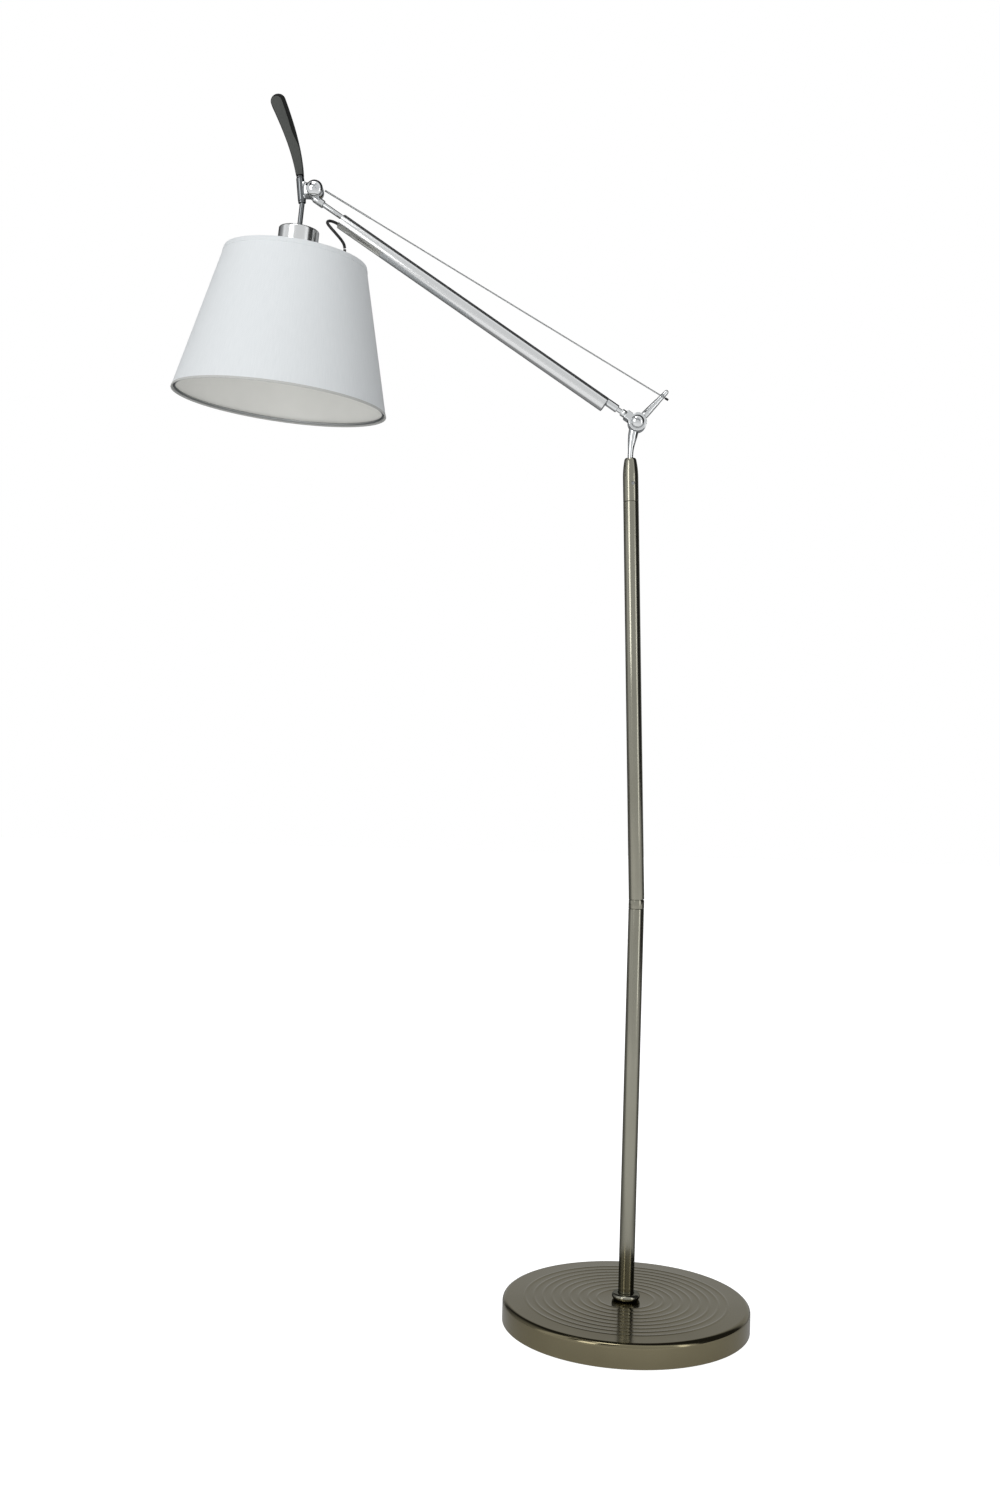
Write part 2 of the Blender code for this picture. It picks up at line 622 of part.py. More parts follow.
def cap_nut(name, radius, inner_face, height, parent, matrix):
    """A closed nut on the pivot screw's far end."""
    profile = [(0.0, inner_face + height), (radius * 0.62, inner_face + height),
               (radius, inner_face + height * 0.62), (radius, inner_face),
               (PIVOT_RADIUS + SLIDE_GAP, inner_face),
               (PIVOT_RADIUS + SLIDE_GAP, inner_face + height * 0.55), (0.0, inner_face + height * 0.55)]
    return turned(name, profile, CHROME, parent, matrix @ ALONG_Y, ROUND)


def make_lower_fork(arm):
    """Two cheeks beside the eye, a web clear of it and a socket for the lower rod."""
    inner = EYE_HALF_WIDTH + TOUCH_GAP
    outer = inner + LOWER_CHEEK
    web_far = LOWER_CHEEK_RADIUS + 0.0066
    fork = disc("lower_fork", LOWER_CHEEK_RADIUS, -outer, outer, CHROME, arm, ALONG_Y, ROUND,
                chamfer=0.0007)
    web = block("lower_web", (-web_far, -outer, -0.0055), (-0.004, outer, 0.0055), CHROME, arm,
                round_edge=0.0012)
    join(fork, web)
    neck = disc("lower_socket", 0.0046, -web_far - 0.0055, -web_far + 0.002, CHROME, arm, ALONG_X, SMALL)
    join(fork, neck)
    clear = disc("eye_clearance", LOWER_CHEEK_RADIUS + 0.0004, -inner, inner, None, arm, ALONG_Y, ROUND,
                 cutter=True)
    cut(fork, clear)
    mouth = block("eye_mouth", (-0.001, -inner, -0.02), (0.03, inner, 0.02), cutter=True, parent=arm)
    cut(fork, mouth)
    bore = disc("lower_pivot_bore", PIVOT_RADIUS + SLIDE_GAP, -0.02, 0.02, None, arm, ALONG_Y, SMALL,
                cutter=True)
    cut(fork, bore)
    rod_hole = disc("lower_rod_hole", LOWER_ROD_RADIUS + TOUCH_GAP, -web_far - 0.02, -web_far + 0.003,
                    None, arm, ALONG_X, SMALL, cutter=True)
    cut(fork, rod_hole)

    head_face = outer + TOUCH_GAP
    screw = pivot_screw("arm_pivot_screw", LOWER_SCREW_RADIUS, LOWER_SCREW_HEIGHT, head_face,
                        head_face + 0.0018, arm, Matrix())
    recess = disc("arm_screw_socket", 0.0025, -head_face - 0.01, -head_face - 0.0018, None, arm, ALONG_Y,
                  6, cutter=True)
    cut(screw, recess)
    cap_nut("arm_pivot_nut", 0.0074, head_face, 0.0044, arm, Matrix())
    return web_far


def make_arm(arm, web_far):
    """Rods, plugs, tube and spring; the frame's -X runs from the lower pivot to the upper."""
    drop = at(0, 0, -ARM_TUBE_DROP)
    start, end = -ARM_TUBE_START, -ARM_TUBE_END
    bore = ARM_TUBE_RADIUS - ARM_TUBE_WALL
    plug = bore - PLUG_CLEARANCE
    sleeve("arm_tube", ARM_TUBE_RADIUS, bore, end, start, SATIN, arm, drop @ ALONG_X)

    disc("lower_rod", LOWER_ROD_RADIUS, start - PLUG_DEPTH, -web_far + 0.0027, CHROME, arm, ALONG_X, SMALL)
    nose_start = start + TOUCH_GAP
    nose_bore = LOWER_ROD_RADIUS + TOUCH_GAP
    nose_end = nose_start + NOSE_LENGTH
    turned("lower_nose", [
        (nose_bore, nose_end), (NOSE_RADIUS - 0.0007, nose_end), (NOSE_RADIUS, nose_end - 0.0007),
        (NOSE_RADIUS, nose_start), (nose_bore, nose_start),
    ], CHROME, arm, ALONG_X, SMALL, ring=True)
    lower_plug = disc("lower_end_plug", plug, start - PLUG_DEPTH + 0.001, start - 0.0004, SATIN, arm,
                      drop @ ALONG_X, ROUND)
    cut(lower_plug, disc("lower_plug_hole", nose_bore, start - 0.03, start + 0.01, None, arm, ALONG_X,
                         SMALL, cutter=True))

    fork_face = -ARM_LENGTH + UPPER_CHEEK_RADIUS - 0.0008
    sleeve("upper_rod", ROD_RADIUS, ROD_BORE, fork_face, end + PLUG_DEPTH, CHROME, arm, ALONG_X, SMALL)
    upper_plug = disc("upper_end_plug", plug, end + 0.0004, end + PLUG_DEPTH - 0.001, SATIN, arm,
                      drop @ ALONG_X, ROUND)
    cut(upper_plug, disc("upper_plug_hole", ROD_RADIUS + PLUG_CLEARANCE, end - 0.01, end + 0.03, None, arm,
                         ALONG_X, SMALL, cutter=True))
    cut(upper_plug, disc("flex_hole", FLEX_RADIUS + TOUCH_GAP, end - 0.01, end + 0.03, None, arm,
                         at(0, 0, -FLEX_DROP) @ ALONG_X, SMALL, cutter=True))

    spring_start = start - PLUG_DEPTH - 0.002
    coil = []
    for index in range(SPRING_TURNS * 8 + 1):
        angle = math.radians(90.0 + 45.0 * index)
        coil.append((spring_start - SPRING_LENGTH * index / (SPRING_TURNS * 8),
                     SPRING_RADIUS * math.cos(angle), SPRING_RADIUS * (math.sin(angle) - 1.0)))
    rod("balance_spring", coil, SPRING_WIRE, STEEL, arm, sides=6)
    wire_start = spring_start - SPRING_LENGTH - SPRING_WIRE - TOUCH_GAP
    disc("hidden_wire", WIRE_RADIUS, -ARM_LENGTH + PULLEY_RIM + 0.004, wire_start, STEEL, arm, ALONG_X, 8)
    disc("arm_lead", FLEX_RADIUS, end + PLUG_DEPTH + 0.001, start - PLUG_DEPTH - 0.001, BLACK, arm,
         at(0, 0, -FLEX_DROP) @ ALONG_X, 10)


def make_upper_fork(arm):
    """Two cheeks with a slot between them for the pulley and wire, and a socket for the rod."""
    pivot = at(-ARM_LENGTH, 0, ARM_RISE)
    inner = UPPER_SLOT_HALF
    outer = inner + UPPER_CHEEK
    fork = disc("upper_fork", UPPER_CHEEK_RADIUS, -outer, outer, CHROME, arm, pivot @ ALONG_Y, ROUND,
                chamfer=0.0006)
    socket = disc("upper_socket", 0.0049, -ARM_LENGTH + 0.0045, -ARM_LENGTH + 0.0185, CHROME, arm,
                  ALONG_X, SMALL, chamfer=0.0007)
    join(fork, socket)
    slot = block("pulley_slot", (-ARM_LENGTH - 0.02, -inner, ARM_RISE - PULLEY_RIM - 0.0010),
                 (-ARM_LENGTH + 0.03, inner, 0.04), cutter=True, parent=arm)
    cut(fork, slot)
    bore = disc("upper_pivot_bore", PIVOT_RADIUS + SLIDE_GAP, -0.02, 0.02, None, arm, pivot @ ALONG_Y,
                SMALL, cutter=True)
    cut(fork, bore)
    rod_hole = disc("upper_rod_hole", ROD_RADIUS + TOUCH_GAP, -ARM_LENGTH + UPPER_CHEEK_RADIUS - 0.0011,
                    -ARM_LENGTH + 0.03, None, arm, ALONG_X, SMALL, cutter=True)
    cut(fork, rod_hole)
    wire_hole = disc("hidden_wire_hole", WIRE_RADIUS + TOUCH_GAP, -ARM_LENGTH - 0.001,
                     -ARM_LENGTH + 0.02, None, arm, ALONG_X, 8, cutter=True)
    cut(fork, wire_hole)

    plate_outer = outer + TOUCH_GAP + CLAMP_PLATE
    head_face = plate_outer + TOUCH_GAP
    screw = pivot_screw("head_pivot_screw", DOME_RADIUS, DOME_HEIGHT, head_face, head_face + 0.0018, arm,
                        pivot @ tilt(-ARM_ANGLE))
    for turn in (45.0, 135.0):
        blade = block("dome_recess_%d" % turn, (-0.0042, -0.03, -0.0008),
                      (0.0042, -head_face - DOME_HEIGHT + 0.0016, 0.0008), cutter=True, parent=arm,
                      matrix=pivot @ tilt(-ARM_ANGLE) @ tilt(math.radians(turn)))
        cut(screw, blade)
    cap_nut("head_pivot_nut", CAP_NUT_RADIUS, head_face, 0.0046, arm, pivot)


def make_pulley(arm):
    """A grooved pulley on the upper pivot, between the fork's cheeks."""
    half = PULLEY_HALF_WIDTH
    bore = PIVOT_RADIUS + SLIDE_GAP
    turned("wire_pulley", [
        (bore, half), (PULLEY_RIM, half), (PULLEY_RIM, half * 0.7), (PULLEY_GROOVE, half * 0.3),
        (PULLEY_GROOVE, -half * 0.3), (PULLEY_RIM, -half * 0.7), (PULLEY_RIM, -half), (bore, -half),
    ], BRASS, arm, at(-ARM_LENGTH, 0, ARM_RISE) @ ALONG_Y, ROUND, ring=True)


# ---------------------------------------------------------------- tension wire
def make_wire(pin_frame, reach):
    """pin_frame is on the cross pin with +X along the wire; reach is pin to pulley tangent."""
    pin = disc("wire_pin", CROSS_PIN_RADIUS, -LEVER_THICKNESS / 2 - 0.0004, LEVER_THICKNESS / 2 + 0.0004,
               STEEL, pin_frame, ALONG_Y, SMALL)
    cut(pin, disc("wire_pin_hole", WIRE_RADIUS + 0.0002, -0.01, 0.01, None, pin_frame, ALONG_X, 8,
                  cutter=True))
    disc("tension_wire", WIRE_RADIUS, -WIRE_STOP_START - WIRE_STOP_LENGTH + 0.0003, reach - WIRE_END,
         STEEL, pin_frame, ALONG_X, 8)
    sleeve("wire_stop", WIRE_STOP_RADIUS, WIRE_RADIUS + 0.0002, -WIRE_STOP_START - WIRE_STOP_LENGTH,
           -WIRE_STOP_START, BLACK, pin_frame, ALONG_X, 12)
    sleeve("wire_lead_in", SLEEVE_RADIUS, SLEEVE_BORE, reach - SLEEVE_FAR, reach - SLEEVE_NEAR, STEEL,
           pin_frame, ALONG_X, 12)


# ---------------------------------------------------------------- head
def make_clamp(tilt_frame, stem_frame):
    """Two plates on the upper pivot and a block bored for the stem."""
    inner = UPPER_SLOT_HALF + UPPER_CHEEK + TOUCH_GAP
    outer = inner + CLAMP_PLATE
    rim = arc((0.0, 0.0), CLAMP_PLATE_RADIUS, 118, -112, 16)
    back = -STEM_BACKSET - CLAMP_BLOCK_HALF
    outline = [(back - 0.0012, 0.0134), (back + 0.0078, 0.0134)] + rim
    outline += [(back + 0.0100, -0.0118), (back + 0.0015, -0.0128)]
    clamp = plate("head_clamp", outline, 2 * outer, CHROME, tilt_frame)
    gap = disc("clamp_gap", UPPER_CHEEK_RADIUS + 0.0004, -inner, inner, None, tilt_frame, ALONG_Y, ROUND,
               cutter=True)
    cut(clamp, gap)
    open_side = block("clamp_open_side", (-0.0030, -inner, -0.03), (0.03, inner, 0.03), cutter=True,
                      parent=tilt_frame)
    cut(clamp, open_side)
    bore = disc("clamp_bore", PIVOT_RADIUS + SLIDE_GAP, -0.02, 0.02, None, tilt_frame, ALONG_Y, SMALL,
                cutter=True)
    cut(clamp, bore)
    stem_hole = disc("stem_bore", STEM_RADIUS + SLIDE_GAP, -0.01, 0.06, None, stem_frame, Matrix(), SMALL,
                     cutter=True)
    cut(clamp, stem_hole)
    rounded(clamp, 0.0006, 1, 60.0)


def make_stem(stem_frame, shade_frame):
    """A rod straight through the clamp, bent below it towards the shade's axis."""
    to_stem = stem_frame.matrix_world.inverted() @ shade_frame.matrix_world
    foot = to_stem @ Vector((0, 0, -0.0060))
    above_cap = to_stem @ Vector((0, 0, STEM_DROP - 0.0060))
    near_bend = to_stem @ Vector((0, 0, STEM_DROP - 0.0022))
    points = [foot, above_cap, near_bend, Vector((0, 0, 0.0020)), Vector((0, 0, HANDLE_START + 0.0100))]
    rod("stem_rod", points, STEM_RADIUS, CHROME, stem_frame, sides=16)
    bore = STEM_RADIUS + 0.00015
    low = CLAMP_BOTTOM - STEM_COLLAR_LENGTH
    sleeve("stem_collar_lower", STEM_COLLAR_RADIUS, bore + 0.0003, low + 0.0002, CLAMP_BOTTOM, CHROME,
           stem_frame, None, SMALL)
    sleeve("stem_collar_upper", STEM_COLLAR_RADIUS - 0.0004, bore + 0.0003, CLAMP_TOP + 0.0004,
           HANDLE_START - 0.0002, CHROME, stem_frame, None, SMALL)


def handle_outline(shrink, rim):
    """The handle's outline round its curved spine; rim cuts the top and +X side back."""
    first, middle, last = (Vector(point) for point in HANDLE_SPINE)
    left, right = [], []
    steps = 10
    for index in range(steps + 1):
        t = index / steps
        here = first * (1 - t) ** 2 + middle * 2 * t * (1 - t) + last * t ** 2
        along = ((middle - first) * (1 - t) + (last - middle) * t).normalized()
        side = Vector((along.y, -along.x))
        half = HANDLE_HALF_ROOT + (HANDLE_HALF_TIP - HANDLE_HALF_ROOT) * t
        thin = min(1.0, max(0.0, (t - 0.35) / 0.3))
        left.append(here - side * (half - shrink))
        right.append(here + side * (half - shrink - rim * thin))
    centre = (left[-1] + right[-1]) / 2
    radius = (left[-1] - right[-1]).length / 2
    start = math.atan2((right[-1] - centre).y, (right[-1] - centre).x)
    top = [centre + Vector((math.cos(start + math.pi * k / 10), math.sin(start + math.pi * k / 10)))
           * radius for k in range(1, 10)]
    return [(p.x, p.y) for p in right + top + list(reversed(left))]


def make_handle(stem_frame):
    base = at(0, 0, HANDLE_START)
    body = plate("handle_body", handle_outline(0.0, 0.0), HANDLE_THICKNESS, BLACK, stem_frame, base)
    bore = disc("handle_bore", STEM_RADIUS + TOUCH_GAP, -0.01, HANDLE_START + 0.0104, None, stem_frame,
                Matrix(), SMALL, cutter=True)
    cut(body, bore)
    rounded(body, 0.0020, 2, 50.0)
    offset = HANDLE_THICKNESS / 2 + HANDLE_FACE / 2 + TOUCH_GAP
    for side, name in ((-1, "handle_face_front"), (1, "handle_face_back")):
        face = plate(name, handle_outline(0.0006, HANDLE_RIM), HANDLE_FACE, GREY, stem_frame,
                     at(0, side * offset, HANDLE_START))
        rounded(face, 0.0005, 1, 50.0)


def make_lampholder(shade_frame):
    """Cap, holder and bulb; the frame's origin is the cap's top, its Z the shade's axis."""
    edge = arc((CAP_RADIUS - CAP_EDGE_RADIUS, -CAP_EDGE_RADIUS), CAP_EDGE_RADIUS, 90, 0, 4)
    inner = CAP_RADIUS - CAP_WALL
    bore = STEM_RADIUS + SLIDE_GAP
    turned("lampholder_cap", [(bore, 0.0)] + edge + [
        (CAP_RADIUS, -CAP_HEIGHT), (inner, -CAP_HEIGHT), (inner, -CAP_WALL), (bore, -CAP_WALL),
    ], SATIN, shade_frame, None, ROUND, ring=True)
    nut_top = -CAP_WALL - TOUCH_GAP
    hex_nut("stem_nut", 0.0130, bore, nut_top - 0.0034, nut_top, shade_frame)
    holder_top = -HOLDER_TOP
    holder_bottom = holder_top - HOLDER_LENGTH
    seat = 0.0135
    flange = -CAP_HEIGHT - TOUCH_GAP
    turned("lampholder", [
        (0.0, holder_top), (HOLDER_RADIUS, holder_top), (HOLDER_RADIUS, flange - 0.0060),
        (HOLDER_RADIUS - 0.002, flange - 0.0070), (HOLDER_RADIUS - 0.002, holder_bottom),
        (seat, holder_bottom), (seat, holder_top - 0.024), (0.0, holder_top - 0.024),
    ], BLACK, shade_frame, None, ROUND)

    neck = BULB_NECK_RADIUS
    cap_top = holder_top - 0.0250
    shoulder = cap_top - 0.0040
    glass_top = holder_bottom - 0.0020
    middle = cap_top - BULB_LENGTH + BULB_RADIUS
    outer = [(neck * 0.55, cap_top), (neck, shoulder), (neck, glass_top)]
    outer += arc((0.0, middle), BULB_RADIUS, 52, -84, 10) + [(0.0, middle - BULB_RADIUS)]
    inside = BULB_RADIUS - BULB_WALL
    inner = [(0.0, middle - inside)] + arc((0.0, middle), inside, -84, 52, 10)
    inner += [(neck - BULB_WALL, glass_top), (neck - BULB_WALL, shoulder),
              (neck * 0.55 - BULB_WALL, cap_top)]
    turned("bulb", inner + outer, OPAL, shade_frame, None, ROUND)


def make_shade(shade_frame):
    """A tapered shell, a wire ring in each hem, and the spider that carries it."""
    top, bottom = -SHADE_TOP, -SHADE_TOP - SHADE_LENGTH
    turned("shade", [
        (SHADE_TOP_RADIUS, top), (SHADE_BOTTOM_RADIUS, bottom), (SHADE_BOTTOM_RADIUS - SHADE_WALL, bottom),
        (SHADE_TOP_RADIUS - SHADE_WALL, top),
    ], FABRIC, shade_frame, None, FINE, ring=True)
    slope = (SHADE_BOTTOM_RADIUS - SHADE_TOP_RADIUS) / SHADE_LENGTH
    inset = SHADE_WALL + SHADE_RING_RADIUS + TOUCH_GAP * 2
    for name, height in (("shade_top_ring", top - 0.0030), ("shade_bottom_ring", bottom + 0.0030)):
        radius = SHADE_TOP_RADIUS + (top - height) * slope - inset
        profile = arc((radius, height), SHADE_RING_RADIUS, 90, -270, 6)[:-1]
        turned(name, profile, STEEL, shade_frame, None, FINE, ring=True)

    hub = top - SPIDER_DROP
    hub_bore = HOLDER_RADIUS + TOUCH_GAP
    hub_radius = CAP_RADIUS + 0.0016
    spider = sleeve("shade_spider", hub_radius, hub_bore, hub - 0.0016, hub, STEEL, shade_frame)
    rim = SHADE_TOP_RADIUS + 0.0030 * slope - inset - SHADE_RING_RADIUS - TOUCH_GAP - SPOKE_RADIUS * 0.4
    for index in range(SPOKE_COUNT):
        turn = Matrix.Rotation(math.radians(90.0 + 360.0 / SPOKE_COUNT * index), 3, "Z")
        route = [(hub_bore + 0.004, 0, hub - 0.0008), (hub_radius + 0.006, 0, hub - 0.0008),
                 (rim - 0.010, 0, top - 0.0060), (rim, 0, top - 0.0032)]
        spoke = rod("spider_spoke_%d" % index, [turn @ Vector(point) for point in route], SPOKE_RADIUS,
                    STEEL, shade_frame, sides=8)
        join(spider, spoke)


# ---------------------------------------------------------------- flex and hidden lead
def smooth_route(points, per_span=3):
    """A Catmull-Rom curve through points, with per_span steps between each pair."""
    knots = [Vector(point) for point in points]
    knots = [knots[0] * 2 - knots[1]] + knots + [knots[-1] * 2 - knots[-2]]
    found = []
    for index in range(1, len(knots) - 2):
        before, here, after, beyond = knots[index - 1:index + 3]
        for step in range(per_span):
            t = step / per_span
            found.append(0.5 * (here * 2 + (after - before) * t
                                + (before * 2 - here * 5 + after * 4 - beyond) * t ** 2
                                + (here * 3 - before - after * 3 + beyond) * t ** 3))
    return found + [knots[-2]]


def make_leads(pole_frame, upper_pivot):
    rod("flex_upper", smooth_route(FLEX_UPPER, 2), FLEX_RADIUS, BLACK, upper_pivot, sides=8)
    rod("flex_lower", smooth_route(FLEX_LOWER, 2), FLEX_RADIUS, BLACK, upper_pivot, sides=8)
    top = UPPER_TUBE_LENGTH - PLUG_LENGTH
    elbow = pole_frame.matrix_world @ Vector((0, 0, 0.0))
    end = pole_frame.matrix_world @ Vector((0, 0, top - 0.004))
    low = BASE_HEIGHT - 0.012
    rod("pole_lead", [(0, 0, low), (0, 0, elbow.z - 0.03), elbow, elbow + (end - elbow) * 0.1, end],
        FLEX_RADIUS, BLACK, sides=8)


# ---------------------------------------------------------------- the lamp
def make_lamp():
    make_base()
    make_lower_pole()
    make_coupler()

    coupling = Vector((0, 0, COLLAR_BOTTOM + COLLAR_HEIGHT))
    pole = empty("pole_swivel_axis", Matrix.Translation(coupling) @ tilt(-POLE_LEAN))
    make_upper_pole(pole)

    knuckle_height = UPPER_TUBE_LENGTH + FERRULE_LENGTH + KNUCKLE_RISE
    knuckle = empty("arm_tilt_axis", at(KNUCKLE_OFFSET, 0, knuckle_height) @ tilt(POLE_LEAN), pole)
    make_pole_head(pole, knuckle)

    arm = empty("arm", tilt(ARM_ANGLE), knuckle)
    web_far = make_lower_fork(arm)
    make_arm(arm, web_far)
    make_upper_fork(arm)
    make_pulley(arm)

    bpy.context.view_layer.update()
    pin = Vector((LEVER_PIN_DISTANCE * math.cos(LEVER_ANGLE), 0, LEVER_PIN_DISTANCE * math.sin(LEVER_ANGLE)))
    upper = Vector((-ARM_LENGTH * math.cos(ARM_ANGLE) + ARM_RISE * math.sin(ARM_ANGLE), 0,
                    ARM_LENGTH * math.sin(ARM_ANGLE) + ARM_RISE * math.cos(ARM_ANGLE)))
    span = upper - pin
    reach = math.sqrt(span.length ** 2 - WIRE_LINE_RADIUS ** 2)
    rise = math.atan2(span.z, -span.x) + math.asin(WIRE_LINE_RADIUS / span.length)
    wire = empty("wire_swing_axis", Matrix.Translation(pin) @ tilt(rise - math.pi), knuckle)
    make_wire(wire, reach)

    head_tilt = empty("head_tilt_axis", Matrix.Translation(upper), knuckle)
    bend = at(-STEM_BACKSET + STEM_BEND_DROP * math.tan(STEM_LEAN), 0, -STEM_BEND_DROP)
    stem = empty("head_swivel_axis", bend @ tilt(-STEM_LEAN), head_tilt)
    lean = tilt(STEM_LEAN + SHADE_TILT_X) @ Matrix.Rotation(SHADE_TILT_Y, 4, "X")
    shade = empty("shade_axis", lean @ at(0, 0, -STEM_DROP), stem)
    bpy.context.view_layer.update()
    make_clamp(head_tilt, stem)
    make_stem(stem, shade)
    make_handle(stem)
    make_lampholder(shade)
    make_shade(shade)
    make_leads(pole, head_tilt)

    for piece in parts.objects:
        if piece.type == "MESH":
            smooth(piece.data)


make_lamp()
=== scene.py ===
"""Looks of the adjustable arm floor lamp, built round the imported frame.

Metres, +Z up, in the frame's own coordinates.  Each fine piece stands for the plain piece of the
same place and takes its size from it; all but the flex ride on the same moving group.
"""
import json
import math

import bmesh
import bpy
from mathutils import Matrix, Vector


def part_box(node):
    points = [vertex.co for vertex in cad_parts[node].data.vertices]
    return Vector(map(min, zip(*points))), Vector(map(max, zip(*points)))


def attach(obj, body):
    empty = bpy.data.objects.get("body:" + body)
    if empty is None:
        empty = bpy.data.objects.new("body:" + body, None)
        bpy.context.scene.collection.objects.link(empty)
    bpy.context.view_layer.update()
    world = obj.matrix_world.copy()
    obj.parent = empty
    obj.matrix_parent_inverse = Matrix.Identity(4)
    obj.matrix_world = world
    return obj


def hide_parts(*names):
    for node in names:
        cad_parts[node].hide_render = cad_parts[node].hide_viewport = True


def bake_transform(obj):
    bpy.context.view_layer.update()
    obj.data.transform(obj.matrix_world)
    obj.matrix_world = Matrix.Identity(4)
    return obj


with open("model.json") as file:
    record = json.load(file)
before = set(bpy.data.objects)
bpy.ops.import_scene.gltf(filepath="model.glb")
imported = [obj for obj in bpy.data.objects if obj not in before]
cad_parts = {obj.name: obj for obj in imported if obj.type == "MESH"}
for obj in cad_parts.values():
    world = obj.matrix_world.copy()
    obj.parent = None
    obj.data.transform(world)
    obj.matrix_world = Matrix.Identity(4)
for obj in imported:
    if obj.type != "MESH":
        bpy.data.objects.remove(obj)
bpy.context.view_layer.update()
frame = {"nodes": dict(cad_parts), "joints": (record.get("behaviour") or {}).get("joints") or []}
nodes = frame["nodes"]
joints = {joint["name"]: joint for joint in frame["joints"]}

# ---- sizes shared by fine pieces
GAP = 0.0003
BASE_RADIUS, BASE_TOP, BASE_SKIRT = 0.150, 0.0297, 0.0012
RING_COUNT, RING_PITCH, RING_OUTER, RING_WIDTH, RING_HEIGHT = 9, 0.0110, 0.1225, 0.0056, 0.0005
TUBE_RADIUS, TUBE_BORE = 0.0095, 0.0083
COUPLING_BOTTOM, COUPLING_TOP = 0.5040, 0.5150
UPPER_TUBE, FERRULE, FERRULE_TOP_RADIUS = 0.4880, 0.0540, 0.0070
ARM_ANGLE, ARM_LENGTH, ARM_RISE = math.radians(33.4), 0.4910, 0.0080
ARM_START, ARM_END, ARM_RADIUS, ARM_BORE, ARM_DROP = 0.0455, 0.4430, 0.0094, 0.0083, 0.0045
KNUCKLE_OFFSET, KNUCKLE_RISE = 0.0090, 0.0440
LEVER_ANGLE, LEVER_LENGTH, LEVER_PIN = math.radians(48.0), 0.0550, 0.0450
STEM_LEAN, STEM_DROP, STEM_BACKSET = math.radians(6.3), 0.0317, 0.0176
SHADE_LEAN, SHADE_SIDE_LEAN = math.radians(5.16), math.radians(2.77)
CAP_RADIUS, CAP_HEIGHT = 0.0250, 0.0460
SHADE_TOP, SHADE_LENGTH, SHADE_TOP_RADIUS, SHADE_BOTTOM_RADIUS = 0.0362, 0.1797, 0.0881, 0.1329
HANDLE_START = 0.0345
HANDLE_SPINE = ((0.0, 0.0), (-0.0010, 0.0380), (-0.0190, 0.0935))
SHADE_WALL = 0.0011
SLOPE = (SHADE_BOTTOM_RADIUS - SHADE_TOP_RADIUS) / SHADE_LENGTH
FLEX_RADIUS, FLEX_DROP = 0.0018, 0.0099
PIVOT_RADIUS, PIVOT_HOLE = 0.0030, 0.0034
ROD_HOLE, STEM_HOLE = 0.0032, 0.0035
EYE_RADIUS, EYE_HALF_WIDTH = 0.0106, 0.0040
NECK_RADIUS, NECK_TOP_RADIUS = 0.0034, 0.0061
THROUGH = 0.02    # how far a small cutter runs past its piece on either side


def at(x=0.0, y=0.0, z=0.0):
    return Matrix.Translation((x, y, z))


def tilt(angle):
    return Matrix.Rotation(angle, 4, "Y")


def standing(origin, up):
    """A frame at origin whose Z runs along up and whose X stays in the XZ plane."""
    up = Vector(up).normalized()
    side = up.cross(Vector((1, 0, 0))).normalized()
    return Matrix.Translation(origin) @ Matrix((side.cross(up), side, up)).transposed().to_4x4()


ALONG_Y = Matrix.Rotation(math.radians(-90.0), 4, "X")
ALONG_X = Matrix.Rotation(math.radians(90.0), 4, "Y")
POLE = standing(joints["pole_swivel"]["pos_m"], joints["pole_swivel"]["axis"])
KNUCKLE = Matrix.Translation(joints["arm_tilt"]["pos_m"])
ARM = KNUCKLE @ tilt(ARM_ANGLE)
CLAMP = Matrix.Translation(joints["head_tilt"]["pos_m"])
STEM = standing(joints["head_swivel"]["pos_m"], joints["head_swivel"]["axis"])
SHADE = (STEM @ tilt(STEM_LEAN + SHADE_LEAN) @ Matrix.Rotation(SHADE_SIDE_LEAN, 4, "X")
         @ at(0, 0, -STEM_DROP))
WIRE_WAY = Vector(joints["wire_feed"]["axis"])
WIRE = Matrix.Translation(joints["wire_swing"]["pos_m"]) @ tilt(math.atan2(-WIRE_WAY.z, WIRE_WAY.x))
# how far the wire runs from its pin to the pulley: the sleeve stops short of that, and its box starts
# at its own edge
SLEEVE_RADIUS, SLEEVE_SHORT = 0.0013, 0.0100
SLEEVE_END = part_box("wire_lead_in")[0].x + SLEEVE_RADIUS * WIRE_WAY.z
WIRE_REACH = (SLEEVE_END - WIRE.translation.x) / WIRE_WAY.x + SLEEVE_SHORT

# ---- camera
# The eye stands low in front of the lamp and looks along +Y, a little up.
eye = bpy.data.cameras.new("eye")
eye.sensor_width = 36.0
eye.lens = 36.378
camera = bpy.data.objects.new("eye", eye)
bpy.context.scene.collection.objects.link(camera)
pitch, yaw, roll = math.radians(1.1636), math.radians(-0.3699), math.radians(1.6556)
ahead = Vector((math.sin(yaw) * math.cos(pitch), math.cos(yaw) * math.cos(pitch), math.sin(pitch)))
across = Vector((math.cos(yaw), -math.sin(yaw), 0.0))
above = across.cross(ahead)
turned_across = across * math.cos(roll) + above * math.sin(roll)
turned_above = above * math.cos(roll) - across * math.sin(roll)
camera.matrix_world = (Matrix.Translation((-0.16027, -1.85919, 0.65543))
                       @ Matrix((turned_across, turned_above, -ahead)).transposed().to_4x4())
eye.clip_start, eye.clip_end = 0.05, 60.0
bpy.context.scene.camera = camera


# ---- colours and nodes
def colour(code):
    """An sRGB hex colour as linear light."""
    parts = [int(code[i:i + 2], 16) / 255.0 for i in (1, 3, 5)]
    linear = [c / 12.92 if c <= 0.04045 else ((c + 0.055) / 1.055) ** 2.4 for c in parts]
    return (*linear, 1.0)


